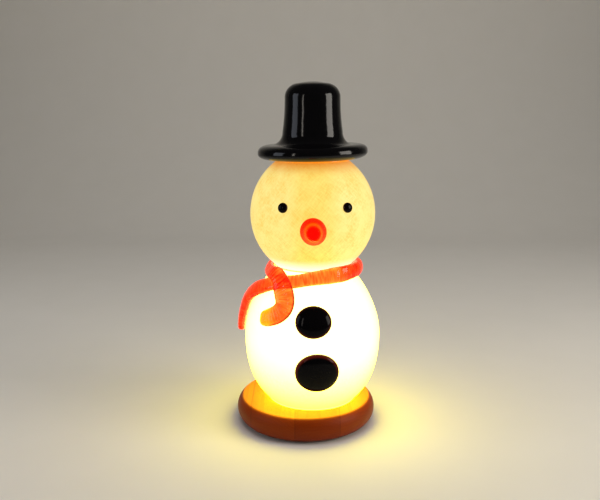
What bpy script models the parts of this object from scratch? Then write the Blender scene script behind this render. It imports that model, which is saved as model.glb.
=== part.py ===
"""Snowman table lamp: two opal glass globes with a glass hat, scarf and face on a turned wooden base.

Metres, +Z up. The origin is on the felt's underside, below the middle of the base, and the face looks
along -Y. The glass figure, the bulb and the lampholder share an axis of their own, which stands a little
to the right of the base's middle. The figure lifts straight off along it to reach the bulb.
"""

import math

import bmesh
import bpy
import numpy as np
from mathutils import Matrix, Vector

# Clearances
TOUCH_GAP = 0.0003  # between pieces that bear on each other
GLASS_PLAY = 0.0006  # between the glass collar and the walls of its groove
THREAD_PLAY = 0.0005  # between the bulb's screw cap and the screw shell

# Wooden base, and what closes it underneath
BASE_RADIUS = 0.0650  # at the widest, half way up the bullnose side
BASE_BULGE = 0.0053  # of the side, beyond the crisp top and bottom edges
BASE_THICKNESS = 0.0217
WEB_THICKNESS = 0.0095  # wood left above the wiring space
CAVITY_RADIUS = 0.0280
GROOVE_DEPTH = 0.0040
GASKET_THICKNESS = 0.0010
PLATE_LEDGE = 0.0080  # of the plate, beyond the wiring space
PLATE_THICKNESS = 0.0020
FELT_MARGIN = 0.0047  # bare wood round the felt
FELT_THICKNESS = 0.0020

# Countersunk screws of the bottom plate
SCREW_COUNT = 3
SCREW_LENGTH = 0.0100
SCREW_HEAD_RADIUS = 0.0030
SCREW_HEAD_HEIGHT = 0.0016
SCREW_HEAD_RIM = 0.0003
SCREW_SHANK_RADIUS = 0.0014
SCREW_POINT = 0.0025

# Cord outlet at the back of the base
CORD_HOLE_RADIUS = 0.0045
SPOT_FACE_DEPTH = 0.0035
BUSH_BORE_RADIUS = 0.0035
BUSH_LENGTH = 0.0120
BUSH_FLANGE_RADIUS = 0.0062
BUSH_FLANGE_THICKNESS = 0.0020

# Threaded tube that clamps the lampholder to the base
NIPPLE_RADIUS = 0.0049
NIPPLE_BORE_RADIUS = 0.0035
NIPPLE_REACH = 0.0085  # above the base's top
NIPPLE_TAIL = 0.0005  # below the nut
NUT_RADIUS = 0.0081  # over the corners
NUT_THICKNESS = 0.0030
WASHER_RADIUS = 0.0100
WASHER_THICKNESS = 0.0015

# Lampholder
HOLDER_RADIUS = 0.0140
HOLDER_WALL = 0.0020
HOLDER_CAP_HEIGHT = 0.0104
HOLDER_SHOULDER = 0.0035  # height of the cap's rounded foot
INSERT_FLOOR = 0.0030
SCREW_SHELL_WALL = 0.0006
HOLDER_CONTACT_RADIUS = 0.0030
HOLDER_CONTACT_HEIGHT = 0.0024

# Bulb
BULB_CONTACT_RADIUS = 0.0023
BULB_CONTACT_HEIGHT = 0.0016
INSULATOR_HEIGHT = 0.0026
INSULATOR_FOOT_RADIUS = 0.0032
BULB_CAP_RADIUS = 0.0070
BULB_CAP_LENGTH = 0.0185
BULB_CAP_TAPER = 0.0012  # in to the insulator below
BULB_CAP_FLARE = 0.0012  # out to the collar above
COLLAR_HEIGHT = 0.0174
COLLAR_LIP = 0.0013  # of the collar's foot, beyond the cap
COLLAR_RADIUS = 0.0165
DIFFUSER_RADIUS = 0.0225

# Glass figure
FIGURE_SHIFT = 0.0060  # from the base's axis to the figure's, along X
GLASS_WALL = 0.0035
MOUTH_RADIUS = 0.0405  # of the collar that stands in the base's groove
BODY_RADIUS = 0.0627
BODY_DROP = 0.0755  # from the widest ring down to where the outline would close
BODY_DROP_POWER = 2.43
BODY_RISE = 0.0798  # from the widest ring up to where the outline would close
BODY_RISE_POWER = 1.63
NECK_RADIUS = 0.0332
NECK_SEAM = 0.0016
HEAD_RADIUS = 0.0566
HEAD_RISE = 0.0582
ROUND_POWER = 2.0

# Hat, measured from the edge of its opening, which rests on the head
HAT_TILT = math.radians(0.25)
HAT_OPENING_RADIUS = 0.0314
HAT_BOND = 0.0008
HAT_BOND_WIDTH = 0.0012
HAT_HEIGHT = 0.0675
HAT_WALL = 0.0035
CROWN_DOME = 0.0014
CROWN_CORNER = 0.0124
CROWN_RADIUS = 0.0247  # just below its rounded top
CROWN_FOOT_RADIUS = 0.0269
CROWN_FOOT_HEIGHT = 0.0238
BRIM_TILT = math.radians(3.5)  # of the brim, from the ring of the opening outwards
BRIM_FLAT_RADIUS = 0.0360
BRIM_FLAT_HEIGHT = 0.0130
BRIM_RADIUS = 0.0492
BRIM_RIM_HEIGHT = 0.0054
BRIM_LIP_RADIUS = 0.0370
BRIM_LIP_RISE = 0.0009  # of the rolled edge's lowest ring, above the opening
BRIM_POWER = 2.8  # of the rolled edge's outline

# Face and buttons: places as an azimuth, 0 in front and positive to the right, and a height
FACE_TURN = math.radians(1.5)
EYE_SPREAD = math.radians(29.2)
EYE_HEIGHT = 0.0115  # above the middle of the head
EYE_RADIUS = 0.0044
EYE_BULGE = 0.0026
EYE_EDGE = 0.0004
NOSE_AZIMUTH = math.radians(-0.4)
NOSE_HEIGHT = -0.0078  # from the middle of the head
NOSE_LIFT = math.radians(4.0)
NOSE_LENGTH = 0.0140
NOSE_FOOT_RADIUS = 0.0112
NOSE_TIP_RADIUS = 0.0058
NOSE_TIP_ROUND = 0.0018
NOSE_OVAL = 1.07  # its height over its width
NOSE_OVAL_TURN = math.radians(15.0)  # of the oval's long way, from upright to the left
NOSE_RIM = 0.0012  # upright rim at the foot
NOSE_ROOT = 0.0090  # behind the glass before it is cut to fit
BUTTON_BULGE = 0.0046
BUTTON_EDGE = 0.0012
BUTTON_UPPER_RADIUS = 0.0142
BUTTON_UPPER_AZIMUTH = 0.0
BUTTON_UPPER_HEIGHT = 0.0235  # above the body's widest ring
BUTTON_LOWER_RADIUS = 0.0179
BUTTON_LOWER_AZIMUTH = math.radians(3.0)
BUTTON_LOWER_HEIGHT = -0.0210

# Scarf: a flat ribbon laid on the glass
SCARF_THICKNESS = 0.0058
SCARF_GAP = 0.0005
SCARF_EDGE_POWER = 2.4
SCARF_END_ROUND = 0.0040
SCARF_END_WIDTH = 0.45  # share of the width left at the very end
SCARF_STEPS = 3  # stations between two points of the route
SCARF_SIDES = 10
SCARF_SETTLING = 6  # rounds of pushing it out to the glass
# From the side tail to the front tail: azimuth in degrees, drop below the neck seam, lift in
# thicknesses, width, and share of the thickness
SCARF_ROUTE = (
    (-91, 0.0625, 0, 0.0150, 1.10),
    (-91, 0.0470, 0, 0.0170, 1.35),
    (-89, 0.0345, 0, 0.0180, 1.50),
    (-80, 0.0245, 0, 0.0170, 1.30),
    (-64, 0.0172, 0, 0.0150, 1.05),
    (-46, 0.0117, 0, 0.0138, 1.00),
    (-22, 0.0072, 0, 0.0128, 1.00),
    (6, 0.0040, 0, 0.0140, 1.00),
    (36, 0.0024, 0, 0.0142, 1.00),
    (70, 0.0018, 0, 0.0130, 1.55),
    (115, 0.0018, 0, 0.0130, 1.55),
    (165, 0.0018, 0, 0.0140, 1.00),
    (210, 0.0020, 0, 0.0135, 1.00),
    (255, 0.0034, 0, 0.0110, 1.00),
    (290, 0.0050, 0.25, 0.0108, 1.00),
    (312, 0.0068, 1, 0.0140, 1.00),
    (325, 0.0120, 1, 0.0162, 1.00),
    (332, 0.0200, 0.55, 0.0180, 1.00),
    (333, 0.0275, 0, 0.0182, 1.00),
    (329, 0.0338, 0, 0.0176, 1.00),
    (320, 0.0384, 0, 0.0158, 1.00),
    (312, 0.0402, 0, 0.0125, 1.00),
)

# Facets
MERGE_DISTANCE = 1e-6
SHARP_ANGLE = math.radians(35.0)
GLASS_SEGMENTS = 40
BASE_SEGMENTS = 48
HAT_SEGMENTS = 32
SMALL_SEGMENTS = 20
SCREW_SEGMENTS = 10
SIDE_POINTS = 7  # down the side of the base
GLOBE_POINTS = 8  # on each half of a globe's outside
INNER_POINTS = 6  # on each half of its inside
SMALL_POINTS = 4  # round a small curve


def fall(radius, height, power, ring):
    """Distance from the widest ring of a superellipse outline to where its radius has shrunk to ring."""
    return height * (1.0 - (ring / radius) ** power) ** (1.0 / power)


# Levels that follow from the sizes
BASE_BOTTOM = FELT_THICKNESS + TOUCH_GAP
BASE_TOP = BASE_BOTTOM + BASE_THICKNESS
PLATE_BOTTOM = BASE_BOTTOM + TOUCH_GAP
PLATE_TOP = PLATE_BOTTOM + PLATE_THICKNESS
REBATE_TOP = PLATE_TOP + TOUCH_GAP
CAVITY_TOP = BASE_TOP - WEB_THICKNESS
GROOVE_FLOOR = BASE_TOP - GROOVE_DEPTH
GASKET_TOP = GROOVE_FLOOR + TOUCH_GAP + GASKET_THICKNESS
SPOT_FACE_Y = BASE_RADIUS - SPOT_FACE_DEPTH
CORD_HOLE_Z = (REBATE_TOP + CAVITY_TOP) / 2.0
WASHER_TOP = CAVITY_TOP - TOUCH_GAP
NUT_TOP = WASHER_TOP - WASHER_THICKNESS - TOUCH_GAP
HOLDER_BOTTOM = BASE_TOP + TOUCH_GAP
HOLDER_CAP_TOP = HOLDER_BOTTOM + HOLDER_CAP_HEIGHT
SLEEVE_BOTTOM = HOLDER_CAP_TOP + TOUCH_GAP
INSERT_FLOOR_TOP = SLEEVE_BOTTOM + INSERT_FLOOR
HOLDER_CONTACT_TOP = INSERT_FLOOR_TOP + TOUCH_GAP + HOLDER_CONTACT_HEIGHT
BULB_BOTTOM = HOLDER_CONTACT_TOP + TOUCH_GAP
INSULATOR_BOTTOM = BULB_BOTTOM + BULB_CONTACT_HEIGHT + TOUCH_GAP
BULB_CAP_BOTTOM = INSULATOR_BOTTOM + INSULATOR_HEIGHT + TOUCH_GAP
BULB_CAP_TOP = BULB_CAP_BOTTOM + BULB_CAP_LENGTH
SLEEVE_TOP = BULB_CAP_TOP - TOUCH_GAP
INSERT_TOP = SLEEVE_TOP - HOLDER_WALL - TOUCH_GAP
COLLAR_BOTTOM = BULB_CAP_TOP + TOUCH_GAP
COLLAR_TOP = COLLAR_BOTTOM + COLLAR_HEIGHT
GLASS_RIM_Z = GASKET_TOP + TOUCH_GAP
WAIST_Z = BASE_TOP + TOUCH_GAP + fall(BODY_RADIUS, BODY_DROP, BODY_DROP_POWER, MOUTH_RADIUS)
NECK_Z = WAIST_Z + fall(BODY_RADIUS, BODY_RISE, BODY_RISE_POWER, NECK_RADIUS)
HEAD_RIM_Z = NECK_Z + NECK_SEAM
HEAD_Z = HEAD_RIM_Z + fall(HEAD_RADIUS, HEAD_RISE, ROUND_POWER, NECK_RADIUS)
HAT_SEAT = fall(HEAD_RADIUS, HEAD_RISE, ROUND_POWER, HAT_OPENING_RADIUS) + HAT_BOND
FELT_RADIUS = BASE_RADIUS - BASE_BULGE - FELT_MARGIN
PLATE_RADIUS = CAVITY_RADIUS + PLATE_LEDGE
SCREW_CIRCLE_RADIUS = CAVITY_RADIUS + PLATE_LEDGE / 2.0
INSULATOR_RADIUS = BULB_CAP_RADIUS - BULB_CAP_TAPER
BULB_CAP_FLARE_RADIUS = BULB_CAP_RADIUS + BULB_CAP_FLARE
COLLAR_FOOT_RADIUS = BULB_CAP_FLARE_RADIUS + COLLAR_LIP
SCREW_SHELL_RADIUS = BULB_CAP_RADIUS + THREAD_PLAY + SCREW_SHELL_WALL
NIPPLE_HOLE_RADIUS = NIPPLE_RADIUS + TOUCH_GAP
ZERO = (0.0, 0.0, 0.0)  # no shift and no turn


def clear_scene():
    """Remove every object, so that the script can be run again."""
    for item in list(bpy.data.objects):
        bpy.data.objects.remove(item)


def make_material(name, colour, roughness, metallic=0.0):
    """A Principled material with one colour."""
    material = bpy.data.materials.new(name)
    material.use_nodes = True
    shader = material.node_tree.nodes["Principled BSDF"]
    shader.inputs["Base Color"].default_value = (*colour, 1.0)
    shader.inputs["Roughness"].default_value = roughness
    shader.inputs["Metallic"].default_value = metallic
    return material


def make_axis(name, location, rotation=ZERO, parent=None):
    """An empty that carries the pieces standing on one axis."""
    axis = bpy.data.objects.new(name, None)
    bpy.context.collection.objects.link(axis)
    axis.location = location
    axis.rotation_euler = rotation
    axis.parent = parent
    return axis


def make_piece(name, mesh, material=None, parent=None, location=ZERO, rotation=ZERO):
    """Link a mesh as a named piece, shaded smooth up to the sharp angle."""
    mesh.shade_smooth()
    mesh.set_sharp_from_angle(angle=SHARP_ANGLE)
    piece = bpy.data.objects.new(name, mesh)
    bpy.context.collection.objects.link(piece)
    piece.parent = parent
    piece.location = location
    piece.rotation_euler = rotation
    if material:
        mesh.materials.append(material)
    return piece


def make_cutter(name, mesh, parent=None, location=ZERO, rotation=ZERO):
    """Link a mesh that only cuts other pieces."""
    cutter = make_piece(name, mesh, None, parent, location, rotation)
    cutter.hide_render = True
    cutter.display_type = "WIRE"
    return cutter


def cut(piece, cutter):
    """Take the cutter's volume away from the piece."""
    modifier = piece.modifiers.new(cutter.name, "BOOLEAN")
    modifier.operation = "DIFFERENCE"
    modifier.solver = "EXACT"
    modifier.object = cutter


def mesh_from(name, form):
    """Weld a bmesh, turn its faces outwards and write it to a mesh."""
    bmesh.ops.remove_doubles(form, verts=form.verts, dist=MERGE_DISTANCE)
    bmesh.ops.recalc_face_normals(form, faces=form.faces)
    mesh = bpy.data.meshes.new(name)
    form.to_mesh(mesh)
    form.free()
    return mesh


def turned(name, profile, segments, centres=((0.0, 0.0),)):
    """Spin a profile of (radius, height) points round Z, once at each centre.

    A profile that starts on the axis ends there too. Any other closes on itself and makes a ring.
    """
    form = bmesh.new()
    for x, y in centres:
        verts = [form.verts.new((x + radius, y, height)) for radius, height in profile]
        pairs = list(zip(verts, verts[1:]))
        if profile[0][0] > 0.0:
            pairs.append((verts[-1], verts[0]))
        edges = [form.edges.new(pair) for pair in pairs]
        bmesh.ops.spin(
            form,
            geom=verts + edges,
            cent=(x, y, 0.0),
            axis=(0.0, 0.0, 1.0),
            angle=math.tau,
            steps=segments,
            use_merge=True,
        )
    return mesh_from(name, form)


def tube_profile(inner, outer, bottom, top):
    """Section of a plain tube or ring."""
    return [(inner, top), (outer, top), (outer, bottom), (inner, bottom)]


def disc_profile(radius, bottom, top):
    """Section of a plain disc, from the axis back to the axis."""
    return [(0.0, top), (radius, top), (radius, bottom), (0.0, bottom)]


def quarter(radius, height, power, ring, count):
    """Points of a superellipse outline from its widest ring, at height 0, to the given ring."""
    last = math.acos((ring / radius) ** (power / 2.0))
    points = []
    for step in range(count - 1):
        angle = last * step / (count - 1)
        points.append((radius * math.cos(angle) ** (2.0 / power), height * math.sin(angle) ** (2.0 / power)))
    points.append((ring, fall(radius, height, power, ring)))
    return points


def quarter_turn(start, end, count, level_first, power=ROUND_POWER):
    """Points after the start of a quarter superellipse that leaves level and ends upright, or the reverse."""
    points = []
    for step in range(1, count):
        angle = math.pi / 2.0 * step / count
        along = math.sin(angle) ** (2.0 / power)
        back = math.cos(angle) ** (2.0 / power)
        if level_first:
            points.append((start[0] + (end[0] - start[0]) * along, end[1] + (start[1] - end[1]) * back))
        else:
            points.append((end[0] + (start[0] - end[0]) * back, start[1] + (end[1] - start[1]) * along))
    points.append(end)
    return points


def figure_radius(heights):
    """Outer radius of the glass figure at each height: the wider of the body's and the head's outline."""
    above = np.clip((heights - WAIST_Z) / BODY_RISE, 0.0, 1.0)
    below = np.clip((WAIST_Z - heights) / BODY_DROP, 0.0, 1.0)
    upper = (1.0 - above**BODY_RISE_POWER) ** (1.0 / BODY_RISE_POWER)
    lower = (1.0 - below**BODY_DROP_POWER) ** (1.0 / BODY_DROP_POWER)
    from_middle = np.clip(np.abs(heights - HEAD_Z) / HEAD_RISE, 0.0, 1.0)
    return np.maximum(BODY_RADIUS * upper * lower, HEAD_RADIUS * np.sqrt(1.0 - from_middle**2))


def on_glass(azimuth, height):
    """Point of the figure's surface at an azimuth and a height, and the direction straight out of it."""
    step = TOUCH_GAP
    radii = figure_radius(np.array([height - step, height, height + step]))
    slope = (radii[2] - radii[0]) / (2.0 * step)
    sideways = Vector((math.sin(azimuth), -math.cos(azimuth), 0.0))
    outward = (sideways - Vector((0.0, 0.0, slope))).normalized()
    return sideways * radii[1] + Vector((0.0, 0.0, height)), outward


def facing(direction):
    """Rotation that carries a piece's own +Z to a direction."""
    return direction.to_track_quat("Z", "Y").to_euler()


def raised(points, level, direction):
    """Shift outline points to a level, up or down from it."""
    return [(radius, level + direction * height) for radius, height in points]


def outline(lower, upper, level):
    """Points up the side of a globe whose widest ring is at a level, from its two quarter outlines."""
    return raised(lower[:0:-1], level, -1.0) + raised(upper, level, 1.0)


def grown_solid(points):
    """Section of a full globe, from its outline, wider by the touching gap."""
    side = [(radius + TOUCH_GAP, height) for radius, height in points[::-1]]
    return [(0.0, points[-1][1])] + side + [(0.0, points[0][1])]


def base_profile():
    """Section of the base's disc, whose side is one shallow arc between two crisp edges."""
    half = BASE_THICKNESS / 2.0
    arc_radius = (half**2 + BASE_BULGE**2) / (2.0 * BASE_BULGE)
    arc_angle = math.asin(half / arc_radius)
    points = [(0.0, BASE_TOP)]
    for step in range(SIDE_POINTS):
        angle = arc_angle * (1.0 - 2.0 * step / (SIDE_POINTS - 1))
        radius = BASE_RADIUS - arc_radius * (1.0 - math.cos(angle))
        points.append((radius, BASE_BOTTOM + half + arc_radius * math.sin(angle)))
    points.append((0.0, BASE_BOTTOM))
    return points


def build_base(wood, rubber, axis):
    """Turned base with its wiring space and glass groove, and the ring that cushions the glass."""
    base = make_piece("wood_base", turned("wood_base", base_profile(), BASE_SEGMENTS), wood)
    plate_hole = PLATE_RADIUS + TOUCH_GAP
    below = BASE_BOTTOM - GROOVE_DEPTH
    above = BASE_TOP + GROOVE_DEPTH
    wiring = [
        (0.0, above),
        (NIPPLE_HOLE_RADIUS, above),
        (NIPPLE_HOLE_RADIUS, CAVITY_TOP),
        (CAVITY_RADIUS, CAVITY_TOP),
        (CAVITY_RADIUS, REBATE_TOP),
        (plate_hole, REBATE_TOP),
        (plate_hole, below),
        (0.0, below),
    ]
    cut(base, make_cutter("wiring_cutter", turned("wiring_cutter", wiring, GLASS_SEGMENTS), axis))
    groove_inner = MOUTH_RADIUS - GLASS_WALL - GLASS_PLAY
    groove_outer = MOUTH_RADIUS + GLASS_PLAY
    groove = tube_profile(groove_inner, groove_outer, GROOVE_FLOOR, above)
    cut(base, make_cutter("groove_cutter", turned("groove_cutter", groove, GLASS_SEGMENTS), axis))
    gasket = tube_profile(
        groove_inner + TOUCH_GAP, groove_outer - TOUCH_GAP, GROOVE_FLOOR + TOUCH_GAP, GASKET_TOP
    )
    make_piece("rim_gasket", turned("rim_gasket", gasket, GLASS_SEGMENTS), rubber, axis)
    return base


def build_outlet(base, plastic):
    """Cord hole at the back of the base, with a spot face for its flanged bush."""
    along_y = (-math.pi / 2.0, 0.0, 0.0)
    outlet = (0.0, SPOT_FACE_Y, CORD_HOLE_Z)
    spot_radius = BUSH_FLANGE_RADIUS + TOUCH_GAP
    hole = [
        (0.0, BASE_RADIUS),
        (spot_radius, BASE_RADIUS),
        (spot_radius, 0.0),
        (CORD_HOLE_RADIUS, 0.0),
        (CORD_HOLE_RADIUS, CAVITY_RADIUS / 2.0 - SPOT_FACE_Y),
        (0.0, CAVITY_RADIUS / 2.0 - SPOT_FACE_Y),
    ]
    hole_mesh = turned("cord_cutter", hole, SMALL_SEGMENTS)
    cut(base, make_cutter("cord_cutter", hole_mesh, None, outlet, along_y))
    flange_top = TOUCH_GAP + BUSH_FLANGE_THICKNESS
    sleeve_radius = CORD_HOLE_RADIUS - TOUCH_GAP
    bush = [
        (BUSH_BORE_RADIUS, flange_top),
        (BUSH_FLANGE_RADIUS, flange_top),
        (BUSH_FLANGE_RADIUS, TOUCH_GAP),
        (sleeve_radius, TOUCH_GAP),
        (sleeve_radius, -BUSH_LENGTH),
        (BUSH_BORE_RADIUS, -BUSH_LENGTH),
    ]
    make_piece("cord_bush", turned("cord_bush", bush, SMALL_SEGMENTS), plastic, None, outlet, along_y)


def build_underside(base, felt, steel, axis):
    """Plate that closes the wiring space, its screws, and the felt that covers them."""
    plate_mesh = turned("bottom_plate", disc_profile(PLATE_RADIUS, PLATE_BOTTOM, PLATE_TOP), GLASS_SEGMENTS)
    plate = make_piece("bottom_plate", plate_mesh, steel, axis)
    felt_mesh = turned("felt_pad", disc_profile(FELT_RADIUS, 0.0, FELT_THICKNESS), BASE_SEGMENTS)
    make_piece("felt_pad", felt_mesh, felt)

    centres = []
    for number in range(SCREW_COUNT):
        turn = math.tau * number / SCREW_COUNT + math.pi / 2.0
        centres.append((SCREW_CIRCLE_RADIUS * math.cos(turn), -SCREW_CIRCLE_RADIUS * math.sin(turn)))
        mesh = turned(f"plate_screw_{number + 1}", screw_profile(0.0), SCREW_SEGMENTS)
        make_piece(f"plate_screw_{number + 1}", mesh, steel, axis, (*centres[-1], PLATE_BOTTOM))
    screw_mesh = turned("screw_cutter", screw_profile(TOUCH_GAP), SCREW_SEGMENTS, centres)
    screw_cutter = make_cutter("screw_cutter", screw_mesh, axis, (0.0, 0.0, PLATE_BOTTOM))
    cut(base, screw_cutter)
    cut(plate, screw_cutter)


def screw_profile(margin):
    """Section of a countersunk wood screw pointing up from its head, grown by a margin."""
    shank = SCREW_SHANK_RADIUS + margin
    head = SCREW_HEAD_RADIUS + margin
    return [
        (0.0, SCREW_LENGTH + margin),
        (shank, SCREW_LENGTH - SCREW_POINT + margin),
        (shank, SCREW_HEAD_HEIGHT + margin),
        (head, SCREW_HEAD_RIM + margin),
        (head, -margin),
        (0.0, -margin),
    ]


def build_lampholder(steel, brass, plastic, porcelain, axis):
    """Hollow threaded tube with its nut and washer, and the screw lampholder that it clamps."""
    nut_bottom = NUT_TOP - NUT_THICKNESS
    nipple = tube_profile(
        NIPPLE_BORE_RADIUS, NIPPLE_RADIUS, nut_bottom - NIPPLE_TAIL, BASE_TOP + NIPPLE_REACH
    )
    make_piece("nipple", turned("nipple", nipple, SMALL_SEGMENTS), steel, axis)
    washer = tube_profile(NIPPLE_HOLE_RADIUS, WASHER_RADIUS, WASHER_TOP - WASHER_THICKNESS, WASHER_TOP)
    make_piece("nipple_washer", turned("nipple_washer", washer, SMALL_SEGMENTS), steel, axis)

    hexagon = bmesh.new()
    bmesh.ops.create_cone(
        hexagon, cap_ends=True, segments=6, radius1=NUT_RADIUS, radius2=NUT_RADIUS, depth=NUT_THICKNESS
    )
    nut_middle = (0.0, 0.0, nut_bottom + NUT_THICKNESS / 2.0)
    nut = make_piece("nipple_nut", mesh_from("nipple_nut", hexagon), steel, axis, nut_middle)
    bore = disc_profile(NIPPLE_HOLE_RADIUS, nut_bottom - NUT_THICKNESS, CAVITY_TOP)
    cut(nut, make_cutter("nut_cutter", turned("nut_cutter", bore, SMALL_SEGMENTS), axis))

    wall_inside = HOLDER_RADIUS - HOLDER_WALL
    insert_radius = wall_inside - TOUCH_GAP
    ledge = insert_radius - HOLDER_WALL / 2.0
    foot_radius = HOLDER_RADIUS - HOLDER_SHOULDER / 2.0
    cap = [
        (NIPPLE_HOLE_RADIUS, HOLDER_BOTTOM + HOLDER_WALL),
        (NIPPLE_HOLE_RADIUS, HOLDER_BOTTOM),
        (foot_radius, HOLDER_BOTTOM),
    ]
    cap += quarter_turn(cap[-1], (HOLDER_RADIUS, HOLDER_BOTTOM + HOLDER_SHOULDER), SMALL_POINTS, True)
    cap += [(HOLDER_RADIUS, HOLDER_CAP_TOP), (ledge, HOLDER_CAP_TOP), (ledge, HOLDER_BOTTOM + HOLDER_WALL)]
    make_piece("holder_cap", turned("holder_cap", cap, SMALL_SEGMENTS), plastic, axis)

    mouth = SCREW_SHELL_RADIUS + TOUCH_GAP
    sleeve = [
        (wall_inside, SLEEVE_BOTTOM),
        (HOLDER_RADIUS, SLEEVE_BOTTOM),
        (HOLDER_RADIUS, SLEEVE_TOP),
        (mouth, SLEEVE_TOP),
        (mouth, SLEEVE_TOP - HOLDER_WALL),
        (wall_inside, SLEEVE_TOP - HOLDER_WALL),
    ]
    make_piece("holder_sleeve", turned("holder_sleeve", sleeve, SMALL_SEGMENTS), plastic, axis)
    insert = [
        (0.0, INSERT_FLOOR_TOP),
        (mouth, INSERT_FLOOR_TOP),
        (mouth, INSERT_TOP),
        (insert_radius, INSERT_TOP),
        (insert_radius, SLEEVE_BOTTOM),
        (0.0, SLEEVE_BOTTOM),
    ]
    make_piece("holder_insert", turned("holder_insert", insert, SMALL_SEGMENTS), porcelain, axis)
    shell = tube_profile(
        BULB_CAP_RADIUS + THREAD_PLAY, SCREW_SHELL_RADIUS, INSERT_FLOOR_TOP + TOUCH_GAP, INSERT_TOP
    )
    make_piece("holder_screw_shell", turned("holder_screw_shell", shell, SMALL_SEGMENTS), brass, axis)
    contact_bottom = INSERT_FLOOR_TOP + TOUCH_GAP
    dome = quarter(HOLDER_CONTACT_RADIUS, HOLDER_CONTACT_HEIGHT, ROUND_POWER, 0.0, SMALL_POINTS)
    contact = raised(dome[::-1], contact_bottom, 1.0) + [(0.0, contact_bottom)]
    make_piece("holder_contact", turned("holder_contact", contact, SMALL_SEGMENTS), brass, axis)


def build_bulb(metal, black, white, opal, axis):
    """Small screw-cap globe bulb, each part on top of the other."""
    contact_top = BULB_BOTTOM + BULB_CONTACT_HEIGHT
    contact = [(0.0, contact_top), (BULB_CONTACT_RADIUS, contact_top)]
    contact += quarter_turn(contact[-1], (0.0, BULB_BOTTOM), SMALL_POINTS, False)
    make_piece("bulb_contact", turned("bulb_contact", contact, SMALL_SEGMENTS), metal, axis)
    insulator_top = INSULATOR_BOTTOM + INSULATOR_HEIGHT
    insulator = [
        (0.0, insulator_top),
        (INSULATOR_RADIUS, insulator_top),
        (INSULATOR_FOOT_RADIUS, INSULATOR_BOTTOM),
        (0.0, INSULATOR_BOTTOM),
    ]
    make_piece("bulb_insulator", turned("bulb_insulator", insulator, SMALL_SEGMENTS), black, axis)
    cap = [
        (0.0, BULB_CAP_TOP),
        (BULB_CAP_FLARE_RADIUS, BULB_CAP_TOP),
        (BULB_CAP_RADIUS, BULB_CAP_TOP - 2.0 * BULB_CAP_FLARE),
        (BULB_CAP_RADIUS, BULB_CAP_BOTTOM + BULB_CAP_TAPER),
        (INSULATOR_RADIUS, BULB_CAP_BOTTOM),
        (0.0, BULB_CAP_BOTTOM),
    ]
    make_piece("bulb_cap", turned("bulb_cap", cap, SMALL_SEGMENTS), metal, axis)
    collar = [(0.0, COLLAR_TOP), (COLLAR_RADIUS, COLLAR_TOP)]
    collar += quarter_turn(collar[-1], (COLLAR_FOOT_RADIUS, COLLAR_BOTTOM), SMALL_POINTS, False)
    collar.append((0.0, COLLAR_BOTTOM))
    make_piece("bulb_collar", turned("bulb_collar", collar, SMALL_SEGMENTS), white, axis)
    bottom = COLLAR_TOP + TOUCH_GAP
    middle = bottom + fall(DIFFUSER_RADIUS, DIFFUSER_RADIUS, ROUND_POWER, COLLAR_RADIUS)
    lower = quarter(DIFFUSER_RADIUS, DIFFUSER_RADIUS, ROUND_POWER, COLLAR_RADIUS, SMALL_POINTS)
    upper = quarter(DIFFUSER_RADIUS, DIFFUSER_RADIUS, ROUND_POWER, 0.0, INNER_POINTS)
    diffuser = outline(lower, upper, middle)[::-1] + [(0.0, bottom)]
    make_piece("bulb_diffuser", turned("bulb_diffuser", diffuser, SMALL_SEGMENTS), opal, axis)


def build_globes(body_glass, head_glass, bond, axis):
    """Body and head, open where they meet, and the ring that bonds them; returns a cutter for each globe."""
    inner_neck = NECK_RADIUS - GLASS_WALL
    inner_mouth = MOUTH_RADIUS - GLASS_WALL
    inner_radius = BODY_RADIUS - GLASS_WALL
    lower = quarter(BODY_RADIUS, BODY_DROP, BODY_DROP_POWER, MOUTH_RADIUS, GLOBE_POINTS)
    upper = quarter(BODY_RADIUS, BODY_RISE, BODY_RISE_POWER, NECK_RADIUS, GLOBE_POINTS)
    body_outside = outline(lower, upper, WAIST_Z)
    lower = quarter(inner_radius, BODY_DROP - GLASS_WALL, BODY_DROP_POWER, inner_mouth, INNER_POINTS)
    upper = quarter(inner_radius, BODY_RISE - GLASS_WALL, BODY_RISE_POWER, inner_neck, INNER_POINTS)
    body_inside = outline(lower, upper, WAIST_Z)
    body = [(MOUTH_RADIUS, GLASS_RIM_Z)] + body_outside + [(inner_neck, NECK_Z)]
    body += body_inside[::-1] + [(inner_mouth, GLASS_RIM_Z)]
    make_piece("body_globe", turned("body_globe", body, GLASS_SEGMENTS), body_glass, axis)

    inner_radius = HEAD_RADIUS - GLASS_WALL
    inner_rise = HEAD_RISE - GLASS_WALL
    chin = quarter(HEAD_RADIUS, HEAD_RISE, ROUND_POWER, NECK_RADIUS, GLOBE_POINTS)
    crown = quarter(HEAD_RADIUS, HEAD_RISE, ROUND_POWER, 0.0, GLOBE_POINTS)
    head_outside = outline(chin, crown, HEAD_Z)
    chin = quarter(inner_radius, inner_rise, ROUND_POWER, inner_neck, INNER_POINTS)
    crown = quarter(inner_radius, inner_rise, ROUND_POWER, 0.0, INNER_POINTS)
    head_inside = outline(chin, crown, HEAD_Z)
    head = head_outside[::-1] + [(inner_neck, HEAD_RIM_Z)] + head_inside
    make_piece("head_globe", turned("head_globe", head, GLASS_SEGMENTS), head_glass, axis)

    ring = tube_profile(inner_neck, NECK_RADIUS, NECK_Z + TOUCH_GAP, HEAD_RIM_Z - TOUCH_GAP)
    make_piece("neck_bond", turned("neck_bond", ring, GLASS_SEGMENTS), bond, axis)
    body_mesh = turned("body_cutter", grown_solid(body_outside), GLASS_SEGMENTS)
    head_mesh = turned("head_cutter", grown_solid(head_outside), GLASS_SEGMENTS)
    return make_cutter("body_cutter", body_mesh, axis), make_cutter("head_cutter", head_mesh, axis)


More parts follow.
